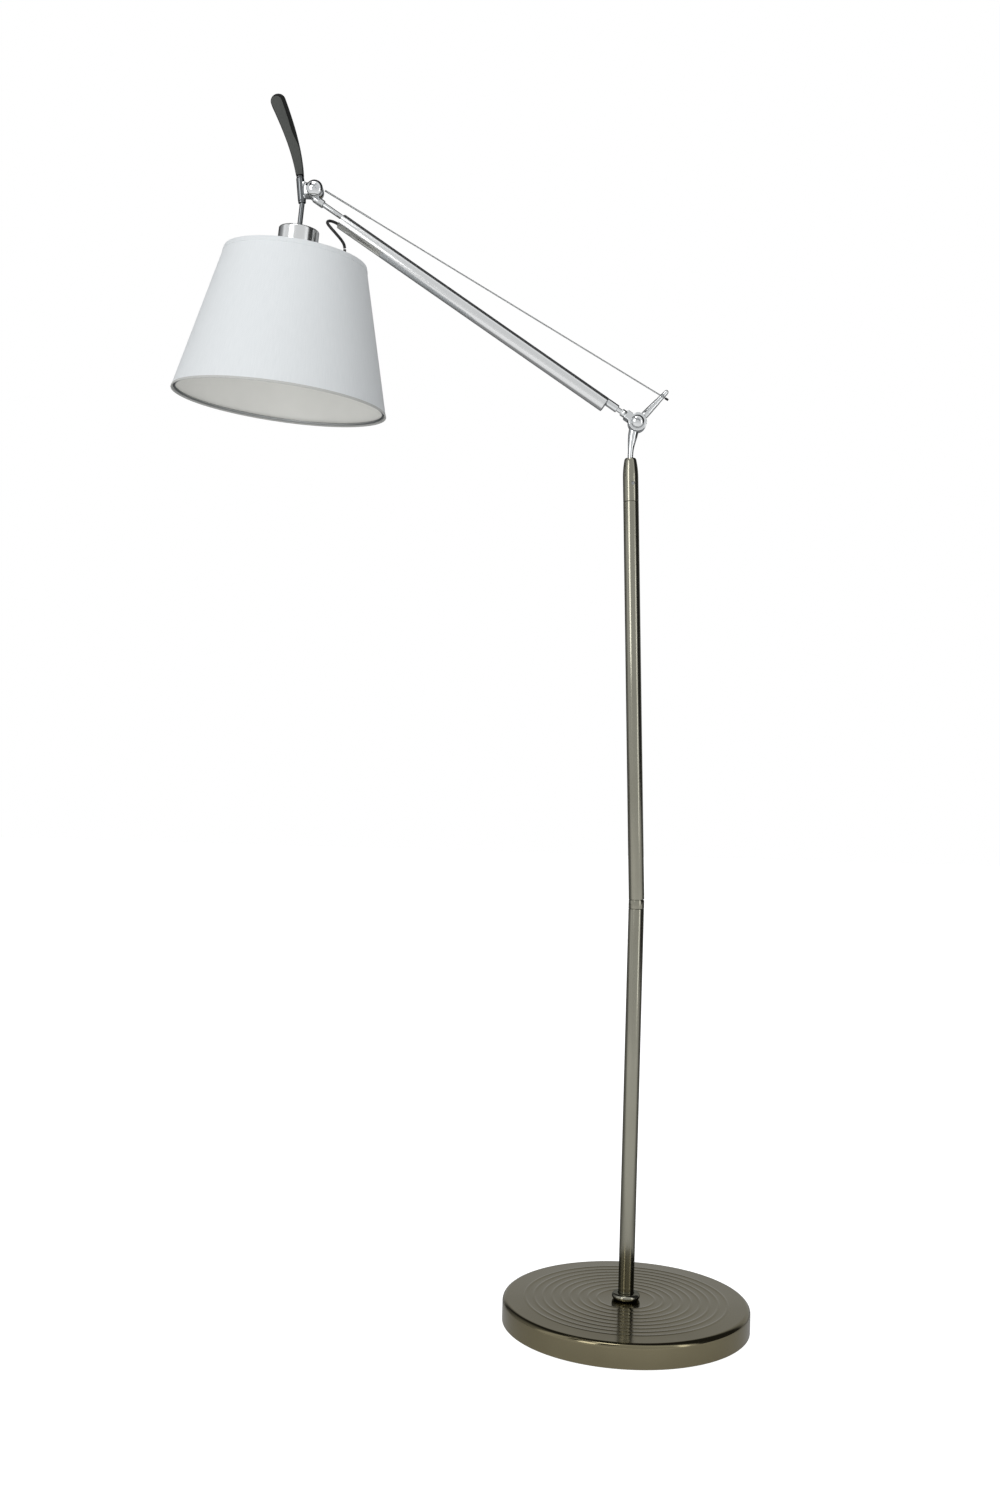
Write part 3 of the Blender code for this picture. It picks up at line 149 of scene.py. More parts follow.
def add_node(tree, kind, settings=None, links=None):
    """A node with its settings (fields or sockets) and links; a linked node gives its first output."""
    made = tree.nodes.new("ShaderNode" + kind)
    for name, value in (settings or {}).items():
        if isinstance(name, str) and hasattr(made, name):
            setattr(made, name, value)
        else:
            made.inputs[name].default_value = value
    for name, source in (links or {}).items():
        tree.links.new(source.outputs[0] if hasattr(source, "outputs") else source, made.inputs[name])
    return made


def new_material(name):
    """An empty material, its node tree and the place on the piece that its patterns follow."""
    made = bpy.data.materials.new(name)
    made.use_nodes = True
    tree = made.node_tree
    tree.nodes.clear()
    return made, tree, add_node(tree, "TexCoord").outputs["Object"]


def close_material(made, tree, tint, height, relief, settings, sheen=None):
    """End a material: its colour, its relief and, where it varies, its roughness on one surface."""
    bump = add_node(tree, "Bump", {"Distance": relief, "Strength": 1.0}, {"Height": height})
    surface = add_node(tree, "BsdfPrincipled", settings, {"Base Color": tint, "Normal": bump})
    if sheen:
        tree.links.new(sheen.outputs[0], surface.inputs["Roughness"])
    add_node(tree, "OutputMaterial", None, {"Surface": surface})
    return made


# ---- materials
def metal(name, dull, bright, streaks, rough, relief, anisotropy=0.0):
    """Bare or plated metal; streaks is how often its marks come per metre along X, Y and Z."""
    made, tree, place = new_material(name)
    marks_at = add_node(tree, "Mapping", {"Scale": streaks}, {"Vector": place})
    marks = add_node(tree, "TexNoise", {"Scale": 1.0, "Detail": 4.0, "Roughness": 0.6},
                     {"Vector": marks_at})
    # cloudy patches a hand's width across, where the lacquer lies thicker or has been touched
    cloud = add_node(tree, "TexNoise", {"Scale": 11.0, "Detail": 3.0}, {"Vector": place})
    tint = add_node(tree, "MixRGB", {"Color1": colour(dull), "Color2": colour(bright)}, {"Fac": cloud})
    both = add_node(tree, "Math", {"operation": "MULTIPLY_ADD", 1: 0.3}, {0: cloud, 2: marks})
    sheen = add_node(tree, "MapRange",
                     {"From Min": 0.40, "From Max": 0.90, "To Min": rough[0], "To Max": rough[1]},
                     {"Value": both})
    return close_material(made, tree, tint, marks, relief, {
        "Metallic": 1.0, "Anisotropic": anisotropy, "Specular Tint": (0.35, 0.36, 0.37, 1.0)}, sheen)


def turned_nickel():
    """Nickel plate finished on a lathe: brownish grey, finely ringed about its centre, a soft glint."""
    made, tree, place = new_material("turned_nickel_plated_steel")
    split = add_node(tree, "SeparateXYZ", None, {"Vector": place})
    flat = add_node(tree, "CombineXYZ", None, {"X": split.outputs["X"], "Y": split.outputs["Y"]})
    radius = add_node(tree, "VectorMath", {"operation": "LENGTH"}, {0: flat}).outputs["Value"]
    # tool marks 0.35 mm apart on the real base, drawn 0.8 mm apart to show
    rings = add_node(tree, "Math", {"operation": "MULTIPLY", 1: 1.0 / 0.0008}, {0: radius})
    line = add_node(tree, "CombineXYZ", None, {"X": rings, "Z": split.outputs["Z"]})
    marks = add_node(tree, "TexNoise", {"Scale": 1.0, "Detail": 3.0, "Roughness": 0.7},
                     {"Vector": line})
    cloud = add_node(tree, "TexNoise", {"Scale": 14.0, "Detail": 3.0}, {"Vector": place})
    tint = add_node(tree, "MixRGB", {"Color1": colour("#766f58"), "Color2": colour("#867f67")},
                    {"Fac": cloud})
    sheen = add_node(tree, "MapRange",
                     {"From Min": 0.3, "From Max": 0.7, "To Min": 0.10, "To Max": 0.16},
                     {"Value": marks})
    return close_material(made, tree, tint, marks, 0.000001, {"Metallic": 1.0}, sheen)


def stranded_wire():
    """Galvanised steel wire rope: light grey, six strands laid in a 9 mm pitch, with painted shade in
    the grooves between them.
    """
    made, tree, place = new_material("galvanised_steel_rope")
    split = add_node(tree, "SeparateXYZ", None, {"Vector": place})
    around = add_node(tree, "Math", {"operation": "ARCTAN2"},
                      {0: split.outputs["Y"], 1: split.outputs["X"]})
    lay = add_node(tree, "Math", {"operation": "MULTIPLY", 1: 2.0 * math.pi / 0.009},
                   {0: split.outputs["Z"]})
    phase = add_node(tree, "Math", {"operation": "ADD"}, {0: around, 1: lay})
    strands = add_node(tree, "Math", {"operation": "MULTIPLY", 1: 6.0}, {0: phase})
    wave = add_node(tree, "Math", {"operation": "SINE"}, {0: strands})
    height = add_node(tree, "MapRange", {"From Min": -1.0, "From Max": 1.0}, {"Value": wave})
    # painted shade: the grooves between the strands are coloured darker than their crowns
    tint = add_node(tree, "MixRGB", {"Color1": colour("#8d8f90"), "Color2": colour("#c6c8c8")},
                    {"Fac": height})
    return close_material(made, tree, tint, height, 0.0002, {"Metallic": 1.0, "Roughness": 0.34})


def moulded(name, low, high, grain_mm, rough, relief=0.00003, **constant):
    """Cast or moulded stuff with the even grain of its mould and a slight drift in colour."""
    made, tree, place = new_material(name)
    grain = add_node(tree, "TexNoise", {"Scale": 1000.0 / grain_mm, "Detail": 2.0}, {"Vector": place})
    drift = add_node(tree, "TexNoise", {"Scale": 30.0, "Detail": 2.0}, {"Vector": place})
    tint = add_node(tree, "MixRGB", {"Color1": colour(low), "Color2": colour(high)}, {"Fac": drift})
    sheen = add_node(tree, "MapRange", {"From Min": 0.3, "From Max": 0.7, "To Min": rough - 0.05,
                                        "To Max": rough + 0.05}, {"Value": grain})
    return close_material(made, tree, tint, grain, relief, {
        key.replace("_", " "): value for key, value in constant.items()}, sheen)


def woven(name, low, high, thread, relief, slubby):
    """Plain weave wrapped round the shade: one thread over, one under, with a slub here and there."""
    made, tree, place = new_material(name)
    split = add_node(tree, "SeparateXYZ", None, {"Vector": place})
    angle = add_node(tree, "Math", {"operation": "ARCTAN2"},
                     {0: split.outputs["Y"], 1: split.outputs["X"]})
    middle = (SHADE_TOP_RADIUS + SHADE_BOTTOM_RADIUS) / 2
    round_count = round(math.pi * middle / thread) * 2
    weft = add_node(tree, "Math", {"operation": "MULTIPLY", 1: round_count / (2 * math.pi)}, {0: angle})
    warp = add_node(tree, "Math", {"operation": "MULTIPLY", 1: 1.0 / thread}, {0: split.outputs["Z"]})
    crossing = add_node(tree, "CombineXYZ", None, {"X": weft, "Y": warp})
    turns = add_node(tree, "VectorMath", {"operation": "SCALE", "Scale": math.pi}, {0: crossing})
    waves = add_node(tree, "VectorMath", {"operation": "SINE"}, {0: turns})
    wave = add_node(tree, "SeparateXYZ", None, {"Vector": waves})
    weave = add_node(tree, "Math", {"operation": "MULTIPLY"},
                     {0: wave.outputs["X"], 1: wave.outputs["Y"]})
    slubs_at = add_node(tree, "Mapping", {"Scale": (0.9, 0.06, 1.0)}, {"Vector": crossing})
    slubs = add_node(tree, "TexNoise", {"Scale": 1.0, "Detail": 2.0}, {"Vector": slubs_at})
    height = add_node(tree, "Math", {"operation": "MULTIPLY_ADD", 1: slubby}, {0: slubs, 2: weave})
    tint = add_node(tree, "MixRGB", {"Color1": colour(low), "Color2": colour(high)}, {"Fac": slubs})
    return close_material(made, tree, tint, height, relief, {
        "Roughness": 0.88, "Sheen Weight": 0.15, "Sheen Roughness": 0.5, "Specular IOR Level": 0.2})


# brushed and lacquered: grey-brown, with a soft upright glint; brush lines 0.2 mm wide, drawn 0.6 mm
# wide so that they show
NICKEL = metal("brushed_nickel_plated_steel", "#8b897c", "#9f9d90", (1800.0, 1800.0, 14.0),
               (0.13, 0.19), 0.0000008)
TURNED = turned_nickel()
# the stem's darker plate: smoky, like gunmetal, hazed in patches 4 mm across
SMOKED = metal("black_nickel_plate", "#6c6f71", "#7a7d7f", (260.0, 260.0, 260.0), (0.08, 0.14),
               0.000002)
# buffed: nearly a mirror, with the faint haze of handling in patches 4 mm across
CHROME = metal("polished_chrome_plate", "#d6d8d9", "#e4e6e7", (260.0, 260.0, 260.0), (0.04, 0.10),
               0.000002)
# drawn tube, satin anodised: pale, with long fine draw lines 0.2 mm wide, drawn 0.4 mm wide to show
ALUMINIUM = metal("satin_anodised_aluminium", "#e0e1e2", "#e8e9e9", (2500.0, 2500.0, 12.0),
                  (0.15, 0.20), 0.000001, 0.2)
# cool grey, slightly mottled, with spangles 1.5 mm across
ZINC = metal("zinc_plated_steel", "#a0a3a4", "#b8baba", (700.0, 700.0, 700.0), (0.26, 0.42), 0.00001)
# yellow metal fresh off the lathe, its turning marks 0.4 mm apart, going dull in patches
BRASS = metal("turned_brass", "#b08e38", "#cbaa54", (60.0, 60.0, 2500.0), (0.22, 0.34), 0.00001)
ROPE = stranded_wire()
# nearly black casting skin, coarse as fine sand
IRON = moulded("cast_iron", "#262625", "#393837", 1.2, 0.75, 0.0002, Metallic=0.6)
# deep black, softly shiny, the fine grain of an etched tool
BLACK = moulded("black_abs_handle", "#0a0b0a", "#111211", 0.5, 0.48, IOR=1.53, Specular_IOR_Level=0.15)
# mid grey, matt and slightly rubbery
GREY = moulded("grey_soft_touch_abs", "#434543", "#4d4f4c", 0.6, 0.62, IOR=1.53,
               Specular_IOR_Level=0.25)
# smooth black sheath with a long soft glint
PVC = moulded("black_pvc_sheath", "#09090a", "#111112", 0.8, 0.40, 0.00002, IOR=1.53,
              Specular_IOR_Level=0.4)
# brown-black, hard and glossier than the handle
PHENOLIC = moulded("black_phenolic", "#131211", "#1f1c1b", 0.7, 0.35, IOR=1.6)
# dull, dusty black
RUBBER = moulded("black_rubber", "#171717", "#242424", 0.8, 0.75, 0.00005, IOR=1.52)
# white plastic lining, smooth and faintly glossy, warmer than the cloth; a faint painted glow stands in
# for room light coming through it
LINER_PAINTED_GLOW = moulded("polystyrene_liner_painted_glow", "#d9d9d5", "#e3e3df", 3.0, 0.60, 0.00001, Specular_IOR_Level=0.3,
                Emission_Color=colour("#dcdcd8"), Emission_Strength=0.14)
# milky white under a clear glaze
OPAL = moulded("opal_glass", "#e6e5e0", "#f4f3ef", 4.0, 0.30, 0.0, IOR=1.5, Coat_Weight=0.6,
               Coat_Roughness=0.05)
# off-white, matt, even; threads 0.5 mm apart, drawn 1.1 mm apart to show
FABRIC = woven("laminated_polycotton", "#dfe3e5", "#e9ecee", 0.0011, 0.00005, 0.8)
# the folded edge tape: greyer, ribbed; threads 0.6 mm apart, drawn 1.3 mm apart to show
TAPE = woven("cotton_edge_tape", "#bcbdba", "#cbccc9", 0.0013, 0.00008, 0.4)


# ---- making pieces
SHARP = math.radians(32.0)            # an edge that turns more than this stays sharp
NEARLY_STRAIGHT = math.radians(160)   # a corner wider than this isn't rounded
WELD = 0.000002                       # points this close become one


def shown(name, mesh, place, finish=None):
    made = bpy.data.objects.new(name, mesh)
    bpy.context.scene.collection.objects.link(made)
    made.matrix_world = place
    if finish:
        made.data.materials.append(finish)
    return made


def settled(piece):
    """Apply the piece's modifiers, then shade it smooth but for its sharp edges."""
    bpy.context.view_layer.update()
    mesh = bpy.data.meshes.new_from_object(piece.evaluated_get(bpy.context.evaluated_depsgraph_get()))
    work = bmesh.new()
    work.from_mesh(mesh)
    bmesh.ops.remove_doubles(work, verts=work.verts, dist=WELD)
    work.to_mesh(mesh)
    work.free()
    piece.modifiers.clear()
    piece.data = mesh
    mesh.shade_smooth()
    mesh.set_sharp_from_angle(angle=SHARP)
    return piece


def eased(line, size, closed):
    """Round the corners of a (radius, height) line over size metres."""
    found = []
    last = len(line)
    for index, here in enumerate(line):
        here = Vector(here)
        if not closed and index in (0, last - 1):
            found.append(tuple(here))
            continue
        before = Vector(line[index - 1]) - here
        after = Vector(line[(index + 1) % last]) - here
        if before.length < 1e-7 or after.length < 1e-7 or before.angle(after) > NEARLY_STRAIGHT:
            found.append(tuple(here))
            continue
        start = here + before.normalized() * min(size, before.length * 0.45)
        end = here + after.normalized() * min(size, after.length * 0.45)
        for step in range(4):
            t = step / 3
            found.append(tuple(start * (1 - t) ** 2 + here * 2 * t * (1 - t) + end * t ** 2))
    return found


def turned(name, line, place, finish=None, closed=False, steps=64, ease=0.0):
    """A turned piece: (radius, height) points run down the outside, and back up inside if closed."""
    if ease:
        line = eased(line, ease, closed)
    mesh = bpy.data.meshes.new(name)
    edges = [(i, i + 1) for i in range(len(line) - 1)] + ([(len(line) - 1, 0)] if closed else [])
    mesh.from_pydata([(radius, 0.0, height) for radius, height in line], edges, [])
    made = shown(name, mesh, place, finish)
    screw = made.modifiers.new("turn", "SCREW")
    screw.steps = screw.render_steps = steps
    screw.use_merge_vertices = True
    screw.merge_threshold = 0.000005
    return settled(made)


def disc(name, radius, bottom, top, place, finish=None, ease=0.0, steps=64):
    return turned(name, [(0.0, top), (radius, top), (radius, bottom), (0.0, bottom)], place, finish,
                  ease=ease, steps=steps)


def pipe(name, radius, bore, bottom, top, place, finish=None, ease=0.0003, steps=64):
    return turned(name, [(radius, top), (radius, bottom), (bore, bottom), (bore, top)], place, finish,
                  closed=True, ease=ease, steps=steps)


def box(name, low, high, place):
    mesh = bpy.data.meshes.new(name)
    work = bmesh.new()
    bmesh.ops.create_cube(work, size=1.0)
    for vertex in work.verts:
        vertex.co = Vector(high[i] if vertex.co[i] > 0 else low[i] for i in range(3))
    work.to_mesh(mesh)
    work.free()
    return shown(name, mesh, place)


def from_curve(curve, name, place, finish):
    """A mesh piece made from a curve, with its caps welded on."""
    maker = bpy.data.objects.new(name + "_line", curve)
    bpy.context.scene.collection.objects.link(maker)
    bpy.context.view_layer.update()
    mesh = bpy.data.meshes.new_from_object(maker.evaluated_get(bpy.context.evaluated_depsgraph_get()))
    bpy.data.objects.remove(maker, do_unlink=True)
    work = bmesh.new()
    work.from_mesh(mesh)
    bmesh.ops.remove_doubles(work, verts=work.verts, dist=WELD)
    bmesh.ops.recalc_face_normals(work, faces=work.faces)
    work.to_mesh(mesh)
    work.free()
    mesh.materials.clear()
    return settled(shown(name, mesh, place, finish))


def bar(name, points, radius, place, finish=None, radii=None, round_off=10):
    """A round bar along points; radii, if given, scale its radius at each of them."""
    curve = bpy.data.curves.new(name, "CURVE")
    curve.dimensions = "3D"
    curve.bevel_depth = radius
    curve.bevel_resolution = round_off
    curve.use_fill_caps = True
    spline = curve.splines.new("POLY")
    spline.points.add(len(points) - 1)
    for index, point in enumerate(points):
        spline.points[index].co = (*point, 1.0)
        spline.points[index].radius = radii[index] if radii else 1.0
    return from_curve(curve, name, place, finish)


def slab(name, outline, thickness, place, finish=None):
    """A flat outline in the XZ plane, with its thickness centred on Y."""
    curve = bpy.data.curves.new(name, "CURVE")
    curve.dimensions = "2D"
    curve.fill_mode = "BOTH"
    curve.extrude = thickness / 2.0
    spline = curve.splines.new("POLY")
    spline.points.add(len(outline) - 1)
    for index, (along, up) in enumerate(outline):
        spline.points[index].co = (along, up, 0.0, 1.0)
    spline.use_cyclic_u = True
    return from_curve(curve, name, place @ Matrix.Rotation(math.radians(90.0), 4, "X"), finish)


def shaped(piece, joins=(), cuts=(), edge=0.0, segments=3, angle=40.0):
    """Fuse and cut a piece with helpers, round its edges, and drop the helpers."""
    for tools, operation in ((joins, "UNION"), (cuts, "DIFFERENCE")):
        for tool in tools:
            change = piece.modifiers.new(tool.name, "BOOLEAN")
            change.operation = operation
            change.solver = "EXACT"
            change.object = tool
    if edge:
        weld = piece.modifiers.new("weld", "WELD")
        weld.merge_threshold = 0.00002
        bevel = piece.modifiers.new("edges", "BEVEL")
        bevel.width = edge
        bevel.segments = segments
        bevel.limit_method = "ANGLE"
        bevel.angle_limit = math.radians(angle)
        bevel.use_clamp_overlap = True
        bevel.miter_outer = "MITER_ARC"
        even = piece.modifiers.new("normals", "WEIGHTED_NORMAL")
        even.keep_sharp = True
    settled(piece)
    for tool in (*joins, *cuts):
        bpy.data.objects.remove(tool, do_unlink=True)
    return piece


def arc(centre, radius, start, end, count):
    """Points on an arc, (across, up), in degrees from +across."""
    found = []
    for index in range(count + 1):
        angle = math.radians(start + (end - start) * index / count)
        found.append((centre[0] + radius * math.cos(angle), centre[1] + radius * math.sin(angle)))
    return found


def smooth_line(points, per_span=6):
    """A Catmull-Rom curve through points."""
    knots = [Vector(point) for point in points]
    knots = [knots[0] * 2 - knots[1]] + knots + [knots[-1] * 2 - knots[-2]]
    found = []
    for index in range(1, len(knots) - 2):
        before, here, after, beyond = knots[index - 1:index + 3]
        for step in range(per_span):
            t = step / per_span
            found.append(0.5 * (here * 2 + (after - before) * t
                                + (before * 2 - here * 5 + after * 4 - beyond) * t ** 2
                                + (here * 3 - before - after * 3 + beyond) * t ** 3))
    return found + [knots[-2]]


def stands_for(piece, body, slot, *plain):
    """The piece rides on a body and stands for plain pieces; slot is not used."""
    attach(piece, body)
    if plain:
        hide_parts(*plain)
    return piece


# ---- flex from the arm to the lampholder
# both measured from the upper pivot
UPPER_ROUTE = (
    (0.0410, 0.0000, -0.0483), (0.0371, 0.0000, -0.0457), (0.0331, 0.0000, -0.0431),
    (0.0292, 0.0000, -0.0404), (0.0251, -0.0008, -0.0385), (0.0211, -0.0033, -0.0381),
    (0.0184, -0.0068, -0.0394), (0.0175, -0.0105, -0.0422), (0.0186, -0.0135, -0.0456),
    (0.0211, -0.0153, -0.0491), (0.0241, -0.0163, -0.0527), (0.0273, -0.0166, -0.0561),
    (0.0305, -0.0165, -0.0596), (0.0337, -0.0160, -0.0630), (0.0367, -0.0153, -0.0666),
    (0.0391, -0.0144, -0.0705), (0.0402, -0.0135, -0.0750),
)
LOWER_ROUTE = (
    (0.0402, -0.0133, -0.0762), (0.0396, -0.0120, -0.0833), (0.0375, -0.0102, -0.0905),
    (0.0330, -0.0080, -0.0975), (0.0260, -0.0055, -0.1031), (0.0177, -0.0030, -0.1066),
    (0.0090, -0.0005, -0.1081), (0.0010, 0.0016, -0.1081),
)


def make_flex():
    for name, route, plain, pair, gripped in (
            ("lamp_flex_upper", UPPER_ROUTE, "flex_upper", ("arm", "clamp"), 4),
            ("lamp_flex_lower", LOWER_ROUTE, "flex_lower", ("clamp", "head"), 1)):
        line = smooth_line([CLAMP @ Vector(point) for point in route], 5)
        flex = bar(name, line, FLEX_RADIUS, Matrix(), PVC, round_off=6)
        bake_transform(flex)
        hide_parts(plain)


make_flex()


# ---- base
def make_base():
    """A spun cover with nine raised rings, a rolled edge and a straight skirt."""
    crown = [(0.0054, BASE_TOP)]
    for index in range(RING_COUNT):
        middle = RING_OUTER - RING_PITCH * (RING_COUNT - 1 - index)
        for share in (-1.0, -0.75, -0.45, -0.2, 0.0, 0.2, 0.45, 0.75, 1.0):
            rise = RING_HEIGHT * (0.5 + 0.5 * math.cos(math.pi * share))
            crown.append((middle + RING_WIDTH / 2 * share, BASE_TOP + rise))
    edge, sheet = 0.0058, 0.0018
    crown += arc((BASE_RADIUS - edge, BASE_TOP - edge), edge, 90, 0, 14)
    crown += [(BASE_RADIUS, BASE_SKIRT + 0.0005), (BASE_RADIUS - 0.0005, BASE_SKIRT),
              (BASE_RADIUS - sheet, BASE_SKIRT)]
    crown += arc((BASE_RADIUS - edge, BASE_TOP - edge), edge - sheet, 0, 90, 6)
    crown += [(0.0054, BASE_TOP - sheet)]
    cover = turned("base_cover", crown, Matrix(), TURNED, closed=True, steps=192)
    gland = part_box("lead_gland")
    outlet = disc("outlet", 0.0052, BASE_RADIUS - 0.02, BASE_RADIUS + 0.02,
                  at(0, 0, (gland[0].z + gland[1].z) / 2) @ ALONG_Y, steps=32)
    stands_for(shaped(cover, cuts=[outlet]), "root", "brushed_nickel", "base_shell")
    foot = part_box("foot_collar")
    low, high, outer = foot[0].z, foot[1].z, foot[1].x
    half = (high - low) / 2
    bead = arc((outer - half, low + half), half, 90, -90, 20)
    collar = turned("foot_ring", [(0.0099, high - 0.0004), (0.0103, high)] + bead + [(0.0099, low)],
                    Matrix(), NICKEL, closed=True, steps=96)
    stands_for(collar, "root", "brushed_nickel", "foot_collar")


# ---- pole
def make_pole():
    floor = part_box("lower_tube")[0].z
    lower = pipe("pole_lower_tube", TUBE_RADIUS, TUBE_BORE, floor, COUPLING_BOTTOM - GAP, Matrix(),
                 NICKEL, ease=0.0004, steps=96)
    stands_for(lower, "root", "brushed_nickel", "lower_tube")
    lean = math.acos(Vector(joints["pole_swivel"]["axis"]).normalized().z)
    lift = TUBE_RADIUS * math.tan(lean)
    band = turned("pole_joint_band", [
        (0.0050, COUPLING_TOP - lift), (TUBE_RADIUS, COUPLING_TOP - lift),
        (TUBE_RADIUS, COUPLING_BOTTOM),
        (0.0080, COUPLING_BOTTOM), (0.0080, COUPLING_BOTTOM - 0.03), (0.0050, COUPLING_BOTTOM - 0.03),
    ], Matrix(), NICKEL, closed=True, steps=96, ease=0.0005)
    spigot = disc("upper_spigot", 0.0080, -0.0055, 0.030, POLE)
    stands_for(shaped(band, joins=[spigot]), "root", "brushed_nickel", "pole_coupler")
    upper = pipe("pole_upper_tube", TUBE_RADIUS, TUBE_BORE, GAP, UPPER_TUBE, POLE, NICKEL, ease=0.0004,
                 steps=96)
    stands_for(upper, "root", "brushed_nickel", "upper_tube")

    foot, top = UPPER_TUBE + GAP, UPPER_TUBE + FERRULE
    line = [(0.0039, top - 0.0006), (0.0043, top), (FERRULE_TOP_RADIUS - 0.0007, top)]
    for index in range(1, 15):
        share = index / 14.0
        line.append((TUBE_RADIUS - (TUBE_RADIUS - FERRULE_TOP_RADIUS) * (1.0 - share) ** 2,
                     top - (FERRULE - 0.030) * share))
    line += [(TUBE_RADIUS, foot + 0.0004), (TUBE_RADIUS - 0.0004, foot), (0.0080, foot),
             (0.0080, foot - 0.022), (0.0039, foot - 0.022)]
    ferrule = turned("pole_ferrule_turned", line, POLE, NICKEL, closed=True, steps=96)
    facing = POLE @ Matrix.Rotation(math.radians(13.0), 4, "Z") @ at(0, 0, top - 0.032) @ ALONG_Y
    hole = disc("screw_hole", 0.0023, -0.012, -0.0039, facing, steps=32)
    sink = turned("screw_sink",
                  [(0.0, -0.0088), (0.0023, -0.0088), (0.0034, -0.0102), (0.0, -0.0102)][::-1],
                  facing, steps=32)
    stands_for(shaped(ferrule, cuts=[hole, sink]), "root", "brushed_nickel", "pole_ferrule")
    screw = disc("ferrule_set_screw", 0.0020, -0.0089, -0.0047, facing, ZINC, ease=0.0003, steps=32)
    socket = disc("hex_socket", 0.0010, -0.0105, -0.0070, facing, steps=6)
    stands_for(shaped(screw, cuts=[socket]), "root", "zinc_steel", "set_screw")


# ---- pole head
def make_pole_head():
    top = UPPER_TUBE + FERRULE
    path = smooth_line([
        (0, 0, top - 0.030), (0, 0, top - 0.010), (0, 0, top + 0.001),
        (KNUCKLE_OFFSET * 0.06, 0, top + KNUCKLE_RISE * 0.20),
        (KNUCKLE_OFFSET * 0.14, 0, top + KNUCKLE_RISE * 0.36),
        (KNUCKLE_OFFSET * 0.34, 0, top + KNUCKLE_RISE * 0.60),
        (KNUCKLE_OFFSET * 0.50, 0, top + KNUCKLE_RISE * 0.76),
        (KNUCKLE_OFFSET * 0.60, 0, top + KNUCKLE_RISE * 0.87)], 6)
    swell = []
    for point in path:
        share = min(1.0, max(0.0, (point.z - top - 0.006) / (KNUCKLE_RISE * 0.76 - 0.006)))
        swell.append(1.0 + (NECK_TOP_RADIUS / NECK_RADIUS - 1.0) * (3 * share ** 2 - 2 * share ** 3))
    neck = bar("neck_and_eye", path, NECK_RADIUS, POLE, CHROME, radii=swell)
    pivot = KNUCKLE @ ALONG_Y
    rooms = [disc("room", 0.0120, near, far, pivot)
             for near, far in ((-THROUGH, -EYE_HALF_WIDTH), (EYE_HALF_WIDTH, THROUGH))]
    shaped(neck, cuts=rooms)
    eye_boss = disc("eye_boss", EYE_RADIUS, -EYE_HALF_WIDTH, EYE_HALF_WIDTH, pivot, ease=0.0008)
    bore = disc("bore", PIVOT_HOLE, -THROUGH, THROUGH, pivot, steps=48)
    lever_way = KNUCKLE @ tilt(math.radians(90.0) - LEVER_ANGLE)
    socket = disc("socket", 0.0025, 0.0056, 0.0146, lever_way, steps=32)
    shaped(neck, joins=[eye_boss])
    shaped(neck, cuts=[bore, socket], edge=0.0004, segments=2)
    stands_for(neck, "pole_head", "chrome", "neck_knuckle")

    start, root, end = 0.0109, 0.0047, 0.0030
    along = [start, start + 0.0008, start + 0.0030]
    along += [start + 0.003 + (LEVER_LENGTH - end - start - 0.003) * i / 8 for i in range(1, 9)]
    sizes = [root * 0.70, root * 0.88] + [root + (end - root) * i / 8 for i in range(9)]
    for turn in (20, 40, 60, 75, 85):
        along.append(LEVER_LENGTH - end + end * math.sin(math.radians(turn)))
        sizes.append(end * math.cos(math.radians(turn)))
    lever = bar("wire_lever", [(0, 0, height) for height in along], 1.0, lever_way, CHROME, radii=sizes)
    # flattened at the root, round at the tip
    for vertex in lever.data.vertices:
        vertex.co.y *= 0.76 + 0.44 * (vertex.co.z - start) / (LEVER_LENGTH - start)
    slot = box("slot", (-THROUGH, -0.00165, LEVER_PIN - 0.0075), (THROUGH, 0.00165, 0.08), lever_way)
    floor = disc("slot_floor", 0.00165, -THROUGH, THROUGH,
                 lever_way @ at(0, 0, LEVER_PIN - 0.0075) @ ALONG_X, steps=32)
    hole = disc("pin_hole", 0.0022, -0.01, 0.01, lever_way @ at(0, 0, LEVER_PIN) @ ALONG_Y, steps=32)
    spigot = disc("spigot", 0.0022, 0.0060, start + 0.002, lever_way, steps=32)
    shaped(lever, cuts=[slot, floor, hole])
    shaped(lever, joins=[spigot])
    stands_for(lever, "pole_head", "chrome", "tension_lever")


